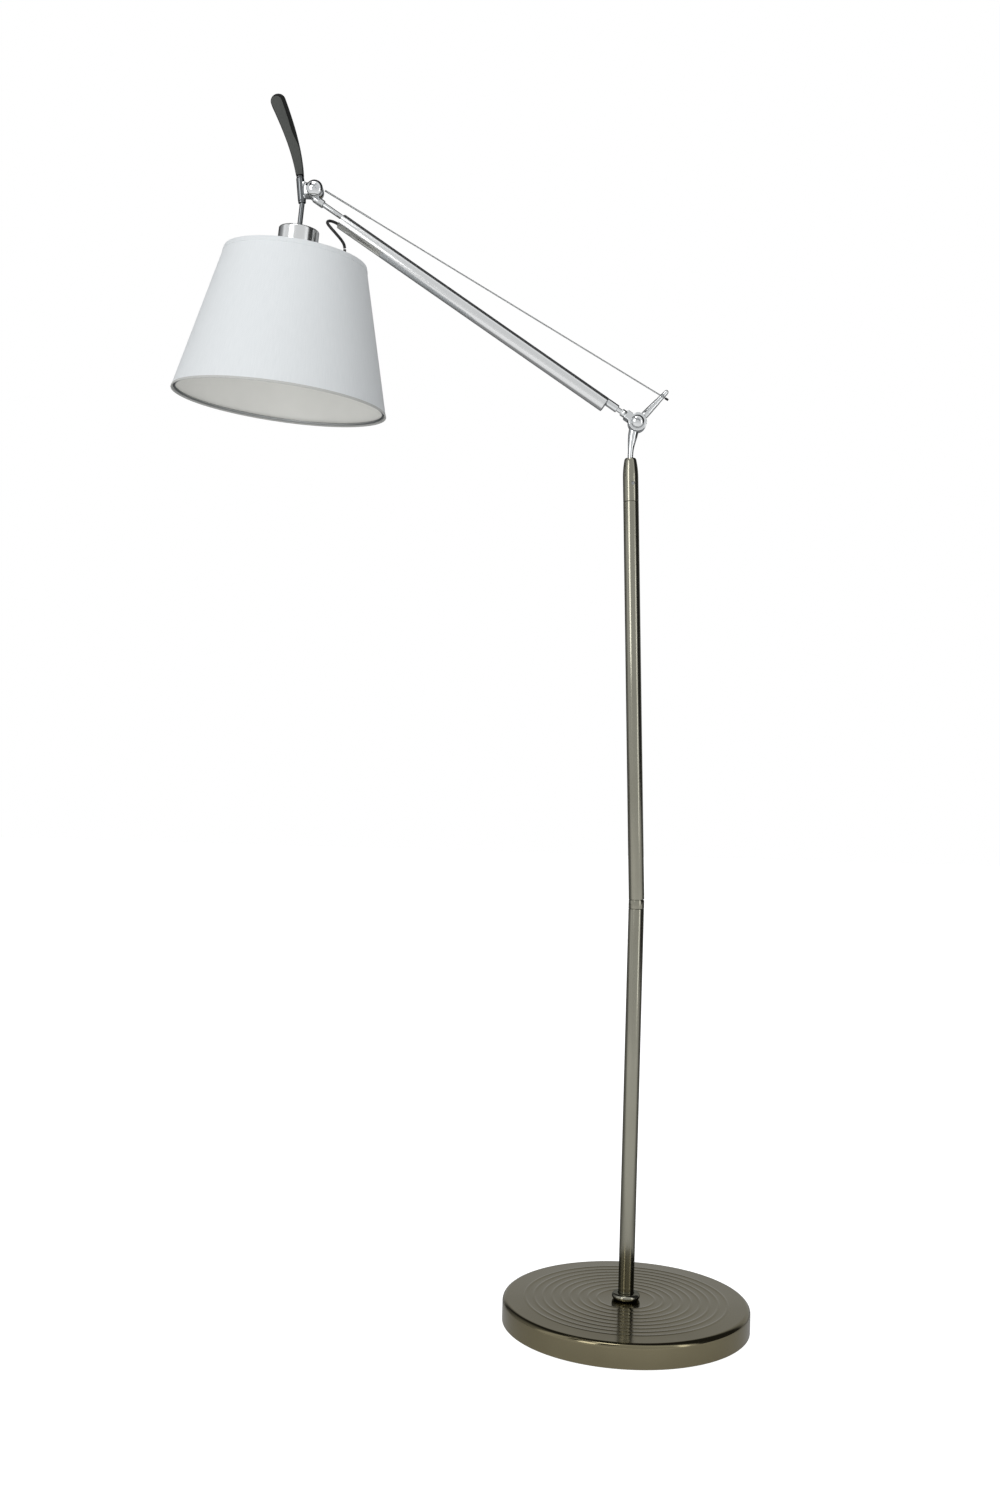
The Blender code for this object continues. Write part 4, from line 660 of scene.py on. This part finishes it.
# ---- arm
def make_lower_joint():
    inner, outer, cheek = 0.0043, 0.0081, 0.0114
    web = 0.0180
    fork = disc("lower_cheeks", cheek, -outer, outer, ARM @ ALONG_Y, CHROME, ease=0.0010)
    arm_web = box("web", (-web, -outer, -0.0055), (-0.004, outer, 0.0055), ARM)
    shaped(arm_web, edge=0.0016)
    neck = turned("neck", [(0.0, -web + 0.002), (0.0046, -web + 0.002), (0.0046, -web - 0.0055),
                           (0.0, -web - 0.0055)], ARM @ ALONG_X, ease=0.0006, steps=48)
    shaped(fork, joins=[arm_web, neck])
    clear = disc("clear", cheek + 0.0004, -inner, inner, ARM @ ALONG_Y)
    mouth = box("mouth", (-0.001, -inner, -0.02), (0.03, inner, 0.02), ARM)
    bore = disc("bore", PIVOT_HOLE, -THROUGH, THROUGH, ARM @ ALONG_Y, steps=48)
    hole = disc("hole", ROD_HOLE, -web - 0.02, -web + 0.003, ARM @ ALONG_X, steps=48)
    shaped(fork, cuts=[clear, mouth, bore, hole])
    stands_for(fork, "arm", "chrome", "lower_fork")

    face = outer + GAP
    head_radius, head_height, shank_end = 0.0082, 0.0050, face + 0.0018
    crown = [(head_radius * math.cos(math.pi / 2 * i / 12),
              -face - head_height * math.sin(math.pi / 2 * i / 12)) for i in range(12)]
    screw = turned("arm_pivot_screw_turned", [
        (0.0, shank_end), (PIVOT_RADIUS, shank_end), (PIVOT_RADIUS, -face)] + crown
        + [(0.0, -face - head_height)], ARM @ ALONG_Y, CHROME)
    socket = disc("socket", 0.0026, -face - 0.01, -face - 0.0016, ARM @ ALONG_Y, steps=6)
    stands_for(shaped(screw, cuts=[socket]), "arm", "chrome", "arm_pivot_screw")
    make_cap_nut("arm_pivot_nut_turned", 0.0074, face, 0.0044, ARM, "arm_pivot_nut")


def make_cap_nut(name, radius, face, height, place, plain):
    nut = turned(name,
                 [(0.0, face + height), (radius * 0.62, face + height), (radius, face + height * 0.62),
                        (radius, face), (PIVOT_HOLE, face), (PIVOT_HOLE, face + height * 0.55),
                        (0.0, face + height * 0.55)], place @ ALONG_Y, CHROME, ease=0.0007)
    stands_for(nut, "arm", "chrome", plain)


def make_arm():
    drop = ARM @ at(0, 0, -ARM_DROP) @ ALONG_X
    tube = pipe("arm_beam", ARM_RADIUS, ARM_BORE, -ARM_END, -ARM_START, drop, ALUMINIUM, ease=0.0005,
                steps=96)
    stands_for(tube, "arm", "satin_aluminium", "arm_tube")
    plug = ARM_BORE - 0.00015
    along = ARM @ ALONG_X
    lower = disc("beam_plug_lower", plug, -ARM_START - 0.013, -ARM_START - 0.0004, drop, ALUMINIUM,
                 ease=0.0004)
    shaped(lower, cuts=[disc("hole", ROD_HOLE, -ARM_START - 0.03, -ARM_START + 0.01, along, steps=48)])
    stands_for(lower, "arm", "satin_aluminium", "lower_end_plug")
    upper = disc("beam_plug_upper", plug, -ARM_END + 0.0004, -ARM_END + 0.013, drop, ALUMINIUM,
                 ease=0.0004)
    shaped(upper, cuts=[
        disc("hole", 0.00335, -ARM_END - 0.01, -ARM_END + 0.03, along, steps=48),
        disc("flex_hole", 0.0024, -ARM_END - 0.01, -ARM_END + 0.03,
             ARM @ at(0, 0, -FLEX_DROP) @ ALONG_X, steps=32)])
    stands_for(upper, "arm", "satin_aluminium", "upper_end_plug")

    lower_rod = disc("beam_rod_lower", 0.0029, -ARM_START - 0.014, -0.0153, along, CHROME, ease=0.0003)
    stands_for(lower_rod, "arm", "chrome", "lower_rod")
    start = -ARM_START + GAP
    nose = pipe("beam_nose", 0.0049, ROD_HOLE, start, start + 0.0155, along, CHROME, ease=0.0008)
    stands_for(nose, "arm", "chrome", "lower_nose")
    upper_rod = pipe("beam_rod_upper", 0.0032, 0.0012, -ARM_LENGTH + 0.0094, -ARM_END + 0.014, along,
                     CHROME, ease=0.0002)
    stands_for(upper_rod, "arm", "chrome", "upper_rod")


# ---- upper knuckle
def make_upper_joint():
    inner, outer, cheek = 0.0023, 0.0063, 0.0102
    pivot = ARM @ at(-ARM_LENGTH, 0, ARM_RISE)
    fork = disc("upper_cheeks", cheek, -outer, outer, pivot @ ALONG_Y, CHROME, ease=0.0009)
    socket = turned("socket", [(0.0, -ARM_LENGTH + 0.0185), (0.0049, -ARM_LENGTH + 0.0185),
                               (0.0049, -ARM_LENGTH + 0.0045), (0.0, -ARM_LENGTH + 0.0045)],
                    ARM @ ALONG_X, ease=0.0008, steps=48)
    shaped(fork, joins=[socket])
    slot = box("slot", (-ARM_LENGTH - 0.02, -inner, ARM_RISE - 0.0074),
               (-ARM_LENGTH + 0.03, inner, 0.04), ARM)
    bore = disc("bore", PIVOT_HOLE, -THROUGH, THROUGH, pivot @ ALONG_Y, steps=48)
    rod_hole = disc("rod_hole", 0.0035, -ARM_LENGTH + 0.0091, -ARM_LENGTH + 0.03, ARM @ ALONG_X,
                    steps=48)
    wire_hole = disc("wire_hole", 0.0011, -ARM_LENGTH - 0.001, -ARM_LENGTH + 0.02, ARM @ ALONG_X,
                     steps=24)
    shaped(fork, cuts=[slot, bore, rod_hole, wire_hole])
    stands_for(fork, "arm", "chrome", "upper_fork")

    half, rim, groove = 0.0016, 0.0064, 0.0058
    pulley = turned("grooved_pulley", [
        (PIVOT_HOLE, half), (rim, half), (rim, half * 0.75), (groove, half * 0.4),
        (groove, -half * 0.4), (rim, -half * 0.75), (rim, -half), (PIVOT_HOLE, -half)],
        CLAMP @ ALONG_Y, BRASS, closed=True, ease=0.0002)
    stands_for(pulley, "pulley", "brass", "wire_pulley")

    face = outer + 2 * GAP + 0.0027
    rise, radius = 0.0062, 0.0104
    crown = [(0.0, -face - rise)]
    crown += [(radius * math.sin(math.pi / 2 * i / 12.0),
               -face - rise * math.cos(math.pi / 2 * i / 12.0))
              for i in range(1, 13)]
    crown += [(PIVOT_RADIUS, -face), (PIVOT_RADIUS, face + 0.0018), (0.0, face + 0.0018)]
    dome = turned("domed_pivot_screw", crown[::-1], CLAMP @ ALONG_Y, CHROME)
    blades = [box("recess", (-0.0042, -0.03, -0.0008), (0.0042, -face - rise + 0.0017, 0.0008),
                  CLAMP @ tilt(math.radians(turn))) for turn in (45.0, 135.0)]
    stands_for(shaped(dome, cuts=blades), "arm", "chrome", "head_pivot_screw")
    make_cap_nut("head_pivot_nut_turned", 0.0085, face, 0.0046, CLAMP, "head_pivot_nut")


# ---- tension wire
def make_wire():
    along = WIRE @ ALONG_X
    pin = disc("wire_cross_pin", 0.0018, -0.0040, 0.0040, WIRE @ ALONG_Y, ZINC, ease=0.0003, steps=32)
    shaped(pin, cuts=[disc("hole", 0.0010, -0.01, 0.01, along, steps=24)])
    stands_for(pin, "wire", "zinc_steel", "wire_pin")
    wire = disc("steel_rope", 0.00085, -0.0082, WIRE_REACH - 0.042, along, ROPE, steps=24)
    stands_for(wire, "wire", "zinc_steel", "tension_wire")
    lead_in = pipe("steel_rope_lead_in", 0.00110, 0.00098, WIRE_REACH - 0.076, WIRE_REACH - SLEEVE_SHORT,
                   along, ROPE, ease=0.00005, steps=24)
    stands_for(lead_in, "lead_in", "zinc_steel", "wire_lead_in")
    stop = pipe("rope_end_sleeve", 0.0014, 0.0010, -0.0085, -0.0040, along, PVC, ease=0.0002, steps=32)
    stands_for(stop, "wire", "black_plastic", "wire_stop")


# ---- head
def make_clamp():
    """Two round plates either side of the arm's end, drawn together into a barrel round the stem."""
    inner, plate = 0.0066, 0.0027
    outer = inner + plate
    barrel_radius, low, high = 0.0050, 0.0032, 0.0318
    plates = disc("head_clamp_cast", 0.0099, -outer, outer, CLAMP @ ALONG_Y, CHROME, ease=0.0010)
    wall = box("wall", (-0.0138, -outer + 0.0004, -0.0080), (-0.0040, outer - 0.0004, 0.0080), CLAMP)
    shaped(wall, edge=0.0024, segments=4)
    web = box("web", (-STEM_BACKSET, -0.0042, -0.0105), (-0.0112, 0.0042, 0.0105), CLAMP)
    shaped(web, edge=0.0016, segments=3)
    shaped(plates, joins=[wall, web])
    gap = disc("gap", 0.0106, -inner, inner, CLAMP @ ALONG_Y)
    side = box("side", (-0.0030, -inner, -0.03), (0.03, inner, 0.03), CLAMP)
    bore = disc("bore", PIVOT_HOLE, -THROUGH, THROUGH, CLAMP @ ALONG_Y, steps=48)
    room = disc("room", barrel_radius - 0.0006, low - 0.01, high + 0.01, STEM)
    shaped(plates, cuts=[gap, side, bore, room])
    stands_for(plates, "clamp", "chrome", "head_clamp")
    barrel = pipe("head_clamp_barrel", barrel_radius, STEM_HOLE, low, high, STEM, SMOKED, ease=0.0010)
    stands_for(barrel, "clamp", "chrome")


def handle_outline(shrink, rim):
    """The handle's outline round its curved spine; rim cuts the top and arm side back, so that a strip
    of the black body shows there as painted shade.
    """
    first, middle, last = (Vector(point) for point in HANDLE_SPINE)
    left, right = [], []
    steps = 28
    for index in range(steps + 1):
        t = index / steps
        here = first * (1 - t) ** 2 + middle * 2 * t * (1 - t) + last * t ** 2
        along = ((middle - first) * (1 - t) + (last - middle) * t).normalized()
        side = Vector((along.y, -along.x))
        half = 0.0045 + 0.0049 * t
        painted_shade_share = min(1.0, max(0.0, (t - 0.35) / 0.3))
        painted_shade_share = painted_shade_share * painted_shade_share * (3 - 2 * painted_shade_share)
        left.append(here - side * (half - shrink))
        right.append(here + side * (half - shrink - rim * painted_shade_share))
    centre = (left[-1] + right[-1]) / 2
    radius = (left[-1] - right[-1]).length / 2
    start = math.atan2((right[-1] - centre).y, (right[-1] - centre).x)
    top = [centre + Vector((math.cos(start + math.pi * k / 24),
                            math.sin(start + math.pi * k / 24))) * radius
           for k in range(1, 24)]
    return [(p.x, p.y) for p in right + top + left[::-1]]


def make_stem_and_handle():
    to_stem = STEM.inverted() @ SHADE
    points = [to_stem @ Vector((0, 0, -0.0060)), to_stem @ Vector((0, 0, STEM_DROP - 0.0080)),
              to_stem @ Vector((0, 0, STEM_DROP - 0.0040)),
              to_stem @ Vector((0, 0, STEM_DROP - 0.0012)),
              Vector((0, 0, 0.0012)), Vector((0, 0, 0.0040)), Vector((0, 0, HANDLE_START + 0.0100))]
    stem = bar("stem_bar", points, 0.0031, STEM, SMOKED)
    stands_for(stem, "head", "chrome", "stem_rod")
    lower = pipe("collar_lower", 0.0048, 0.00355, 0.0008, 0.0030, STEM, SMOKED, ease=0.0005)
    stands_for(lower, "head", "chrome", "stem_collar_lower")
    upper = pipe("collar_upper", 0.0044, 0.00355, 0.0324, HANDLE_START - 0.0002, STEM, SMOKED,
                 ease=0.0005)
    stands_for(upper, "head", "chrome", "stem_collar_upper")

    base = STEM @ at(0, 0, HANDLE_START)
    body = slab("grip_body", handle_outline(0.0, 0.0), 0.0100, base, BLACK)
    bore = disc("bore", 0.0034, -0.01, HANDLE_START + 0.0104, STEM, steps=48)
    shaped(body, edge=0.0022, segments=5, angle=50.0)
    shaped(body, cuts=[bore])
    stands_for(body, "head", "black_plastic", "handle_body")
    for side, name, plain in ((-1, "grip_face_front", "handle_face_front"),
                              (1, "grip_face_back", "handle_face_back")):
        # painted shade: each grey face is cut back at the top and the arm side, leaving a black strip
        # there
        face = slab(name, handle_outline(0.0006, 0.0044), 0.0014, base @ at(0, side * 0.0060, 0), GREY)
        shaped(face, edge=0.0006, segments=3, angle=50.0)
        stands_for(face, "head", "grey_plastic", plain)


def make_lampholder():
    edge, wall, bore = 0.0022, 0.0014, STEM_HOLE
    line = [(bore, 0.0)] + arc((CAP_RADIUS - edge, -edge), edge, 90, 0, 10)
    line += [(CAP_RADIUS, -CAP_HEIGHT + 0.0004), (CAP_RADIUS - 0.0004, -CAP_HEIGHT),
             (CAP_RADIUS - wall, -CAP_HEIGHT), (CAP_RADIUS - wall, -wall), (bore, -wall)]
    cap = turned("holder_cap", line, SHADE, ALUMINIUM, closed=True, steps=128)
    stands_for(cap, "head", "satin_aluminium", "lampholder_cap")

    top, bottom, flange = -0.0080, -0.0640, -CAP_HEIGHT - GAP
    barrel = [(0.0, top), (0.0180, top), (0.0180, flange - 0.0060), (0.0160, flange - 0.0070),
              (0.0160, bottom), (0.0135, bottom), (0.0135, top - 0.024), (0.0, top - 0.024)]
    holder = turned("holder_barrel", barrel, SHADE, PHENOLIC, ease=0.0005, steps=96)
    stands_for(holder, "head", "black_plastic", "lampholder")

    cap_top, shoulder, glass = -0.0330, -0.0370, -0.0660
    middle, radius, neck = -0.0960, 0.0290, 0.0130
    outer = [(neck * 0.55, cap_top), (neck, shoulder), (neck, glass)]
    outer += arc((0.0, middle), radius, 52, -86, 40) + [(0.0, middle - radius)]
    inner = [(0.0, middle - radius + 0.0012)] + arc((0.0, middle), radius - 0.0012, -86, 52, 40)
    inner += [(neck - 0.0012, glass), (neck - 0.0012, shoulder), (neck * 0.55 - 0.0012, cap_top)]
    bulb = turned("globe_bulb", inner + outer, SHADE, OPAL, steps=96)
    stands_for(bulb, "head", "opal_glass", "bulb")


# ---- shade
def on_shade(height, proud=0.0):
    """Radius of the shade's outside at a height below the cap's top."""
    return SHADE_TOP_RADIUS + (-SHADE_TOP - height) * SLOPE + proud


def make_shade():
    """Fabric outside, liner inside and a folded tape round each edge."""
    top, bottom = -SHADE_TOP, -SHADE_TOP - SHADE_LENGTH
    rows = 24
    outside = []
    for row in range(rows + 1):
        outside.append((on_shade(top + (bottom - top) * row / rows, -0.00015),
                        top - 0.0002 + (bottom - top + 0.0004) * row / rows))
    inside = [(r - 0.0005, z) for r, z in reversed(outside)]
    cloth = turned("shade_fabric", outside + inside, SHADE, FABRIC, closed=True, steps=160)
    stands_for(cloth, "head", "white_fabric", "shade")
    backing = [(r - 0.00052, z) for r, z in outside] + [(r - 0.00095, z) for r, z in reversed(outside)]
    # the liner carries a faint painted glow
    liner = turned("shade_liner_painted_glow", backing, SHADE, LINER_PAINTED_GLOW, closed=True, steps=160)
    stands_for(liner, "head", "white_fabric")
    for name, edge, way, width, finish in (("shade_top_tape", top, -1, 0.0060, FABRIC),
                                           ("shade_bottom_tape", bottom, 1, 0.0028, TAPE)):
        proud = 0.00022
        far = edge + way * width
        line = [(on_shade(far, 0.0), far), (on_shade(far, proud), far - way * 0.0003),
                (on_shade(edge, proud), edge + way * 0.0003),
                (on_shade(edge, 0.0), edge - way * 0.0001),
                (on_shade(edge, -SHADE_WALL), edge - way * 0.0001),
                (on_shade(edge, -SHADE_WALL - proud), edge + way * 0.0003),
                (on_shade(far, -SHADE_WALL - proud), far - way * 0.0003),
                (on_shade(far, -SHADE_WALL), far)]
        if way > 0:
            line = line[::-1]
        tape = turned(name, line, SHADE, finish, closed=True, steps=160)
        stands_for(tape, "head", "white_fabric")

    inset = SHADE_WALL + 0.0015 + GAP * 2
    for name, height, plain in (("shade_ring_top", top - 0.0030, "shade_top_ring"),
                                ("shade_ring_bottom", bottom + 0.0030, "shade_bottom_ring")):
        ring = turned(name, arc((on_shade(height, -inset), height), 0.0015, 90, -270, 16)[:-1], SHADE,
                      ZINC, closed=True, steps=128)
        stands_for(ring, "head", "zinc_steel", plain)

    hub, bore, outer = top - 0.0140, 0.0183, 0.0266
    spider = pipe("shade_carrier", outer, bore, hub - 0.0016, hub, SHADE, ZINC, ease=0.0004)
    rim = on_shade(top - 0.0030, -inset - 0.0015 - GAP - 0.00056)
    spokes = []
    for index in range(3):
        turn = Matrix.Rotation(math.radians(90.0 + 120.0 * index), 3, "Z")
        route = smooth_line([(bore + 0.004, 0, hub - 0.0008), (outer + 0.006, 0, hub - 0.0008),
                             (rim - 0.014, 0, top - 0.0074), (rim - 0.006, 0, top - 0.0044),
                             (rim, 0, top - 0.0032)], 5)
        spokes.append(bar("spoke_%d" % index, [turn @ point for point in route], 0.0014, SHADE,
                          round_off=4))
    shaped(spider, joins=spokes)
    stands_for(spider, "head", "zinc_steel", "shade_spider")


# ---- plain pieces that show as they are
def finish_plain():
    for name, finish in (
            ("floor_pad", RUBBER), ("lead_gland", RUBBER), ("base_weight", IRON), ("base_washer", ZINC),
            ("base_nut", ZINC), ("foot_nipple", ZINC), ("lower_tube_plug", ZINC), ("pole_lead", PVC),
            ("balance_spring", ZINC), ("hidden_wire", ROPE), ("arm_lead", PVC), ("stem_nut", ZINC)):
        nodes[name].data.materials.clear()
        nodes[name].data.materials.append(finish)


make_base()
make_pole()
make_pole_head()
make_lower_joint()
make_arm()
make_upper_joint()
make_wire()
make_clamp()
make_stem_and_handle()
make_lampholder()
make_shade()
finish_plain()


# ---- studio
# brightness round the room: from straight behind (0) through the sides (0.5) to straight before (1)
WALLS = ((0.0, 0.50), (0.09, 0.50), (0.17, 0.04), (0.585, 0.04), (0.635, 0.96), (0.72, 0.96),
         (0.78, 0.74), (1.0, 0.74))


def make_studio():
    """A pale floor and soft lights, in a room that is bright before the lamp and dark at its sides."""
    floor_mesh = bpy.data.meshes.new("studio_floor")
    floor_mesh.from_pydata([(-12, -12, 0), (12, -12, 0), (12, 12, 0), (-12, 12, 0)], [], [(0, 1, 2, 3)])
    floor = shown("studio_floor", floor_mesh, at(0, 0, -0.0002))
    made, tree, place = new_material("painted_studio_floor")
    drift = add_node(tree, "TexNoise", {"Scale": 0.6, "Detail": 2.0}, {"Vector": place})
    tint = add_node(tree, "MixRGB", {"Color1": colour("#cfcfcf"), "Color2": colour("#d6d6d6")},
                    {"Fac": drift})
    # a painted glow makes the floor brighter before the lamp; straight to the eye it glows evenly white
    seen = add_node(tree, "LightPath").outputs["Is Camera Ray"]
    split = add_node(tree, "SeparateXYZ", None, {"Vector": place})
    before = add_node(tree, "MapRange", {"From Min": 0.10, "From Max": -0.30, "To Max": 0.55},
                      {"Value": split.outputs["Y"]})
    glow = add_node(tree, "Math", {"operation": "MAXIMUM"}, {0: seen, 1: before})
    surface = add_node(tree, "BsdfPrincipled", {"Roughness": 0.9, "Specular IOR Level": 0.1,
                                                "Emission Color": (1.0, 1.0, 1.0, 1.0)},
                       {"Base Color": tint, "Emission Strength": glow})
    add_node(tree, "OutputMaterial", None, {"Surface": surface})
    floor.data.materials.append(made)

    world = bpy.data.worlds.new("studio")
    bpy.context.scene.world = world
    world.use_nodes = True
    tree = world.node_tree
    tree.nodes.clear()
    way = add_node(tree, "TexCoord").outputs["Generated"]
    # how far a direction turns to the front, a little to the left of it
    turn = math.radians(14.0)
    front = add_node(tree, "VectorMath",
                     {"operation": "DOT_PRODUCT", 1: (-math.sin(turn), -math.cos(turn), 0.0)},
                     {0: way}).outputs["Value"]
    share = add_node(tree, "MapRange", {"From Min": -1.0, "From Max": 1.0}, {"Value": front})
    walls = add_node(tree, "ValToRGB", None, {"Fac": share})
    while len(walls.color_ramp.elements) > 1:
        walls.color_ramp.elements.remove(walls.color_ramp.elements[-1])
    for index, (position, level) in enumerate(WALLS):
        stop = walls.color_ramp.elements[0] if index == 0 else walls.color_ramp.elements.new(position)
        stop.position, stop.color = position, (level * 0.985, level * 0.995, level, 1.0)
    split = add_node(tree, "SeparateXYZ", None, {"Vector": way})
    left = add_node(tree, "MapRange", {"From Min": -0.55, "From Max": -0.95, "To Max": 0.45},
                    {"Value": split.outputs["X"]})
    room = add_node(tree, "MixRGB", {"Color2": (0.80, 0.81, 0.82, 1.0)}, {"Fac": left, "Color1": walls})
    # one dark panel high at the front left
    toward = add_node(tree, "VectorMath",
                      {"operation": "DOT_PRODUCT", 1: Vector((-0.45, -0.55, 0.70)).normalized()},
                      {0: way}).outputs["Value"]
    panel = add_node(tree, "MapRange",
                     {"interpolation_type": "SMOOTHSTEP", "From Min": 0.93, "From Max": 0.96},
                     {"Value": toward})
    room = add_node(tree, "MixRGB", {"Color2": (0.03, 0.03, 0.03, 1.0)}, {"Fac": panel, "Color1": room})
    seen = add_node(tree, "LightPath").outputs["Is Camera Ray"]
    colours = add_node(tree, "MixRGB", {"Color2": (1.0, 1.0, 1.0, 1.0)}, {"Fac": seen, "Color1": room})
    light = add_node(tree, "Background", {"Strength": 1.0}, {"Color": colours})
    add_node(tree, "OutputWorld", None, {"Surface": light})

    for name, place, aim, size, power in (
            ("key", (-1.9, -2.3, 1.9), (-0.2, 0, 0.9), (0.9, 1.8), 17.0),
            ("fill", (2.0, -1.8, 1.0), (-0.1, 0, 0.8), (0.4, 1.6), 4.0),
            ("top", (-0.9, -1.5, 3.6), (-0.2, 0, 0.6), (1.0, 1.0), 12.0)):
        lamp = bpy.data.lights.new(name, "AREA")
        lamp.shape = "RECTANGLE"
        lamp.size, lamp.size_y = size
        lamp.energy = power
        made = bpy.data.objects.new(name, lamp)
        bpy.context.scene.collection.objects.link(made)
        made.location = place
        made.rotation_euler = (Vector(aim) - Vector(place)).to_track_quat("-Z", "Y").to_euler()
    bpy.context.scene.view_settings.view_transform = "Standard"


make_studio()
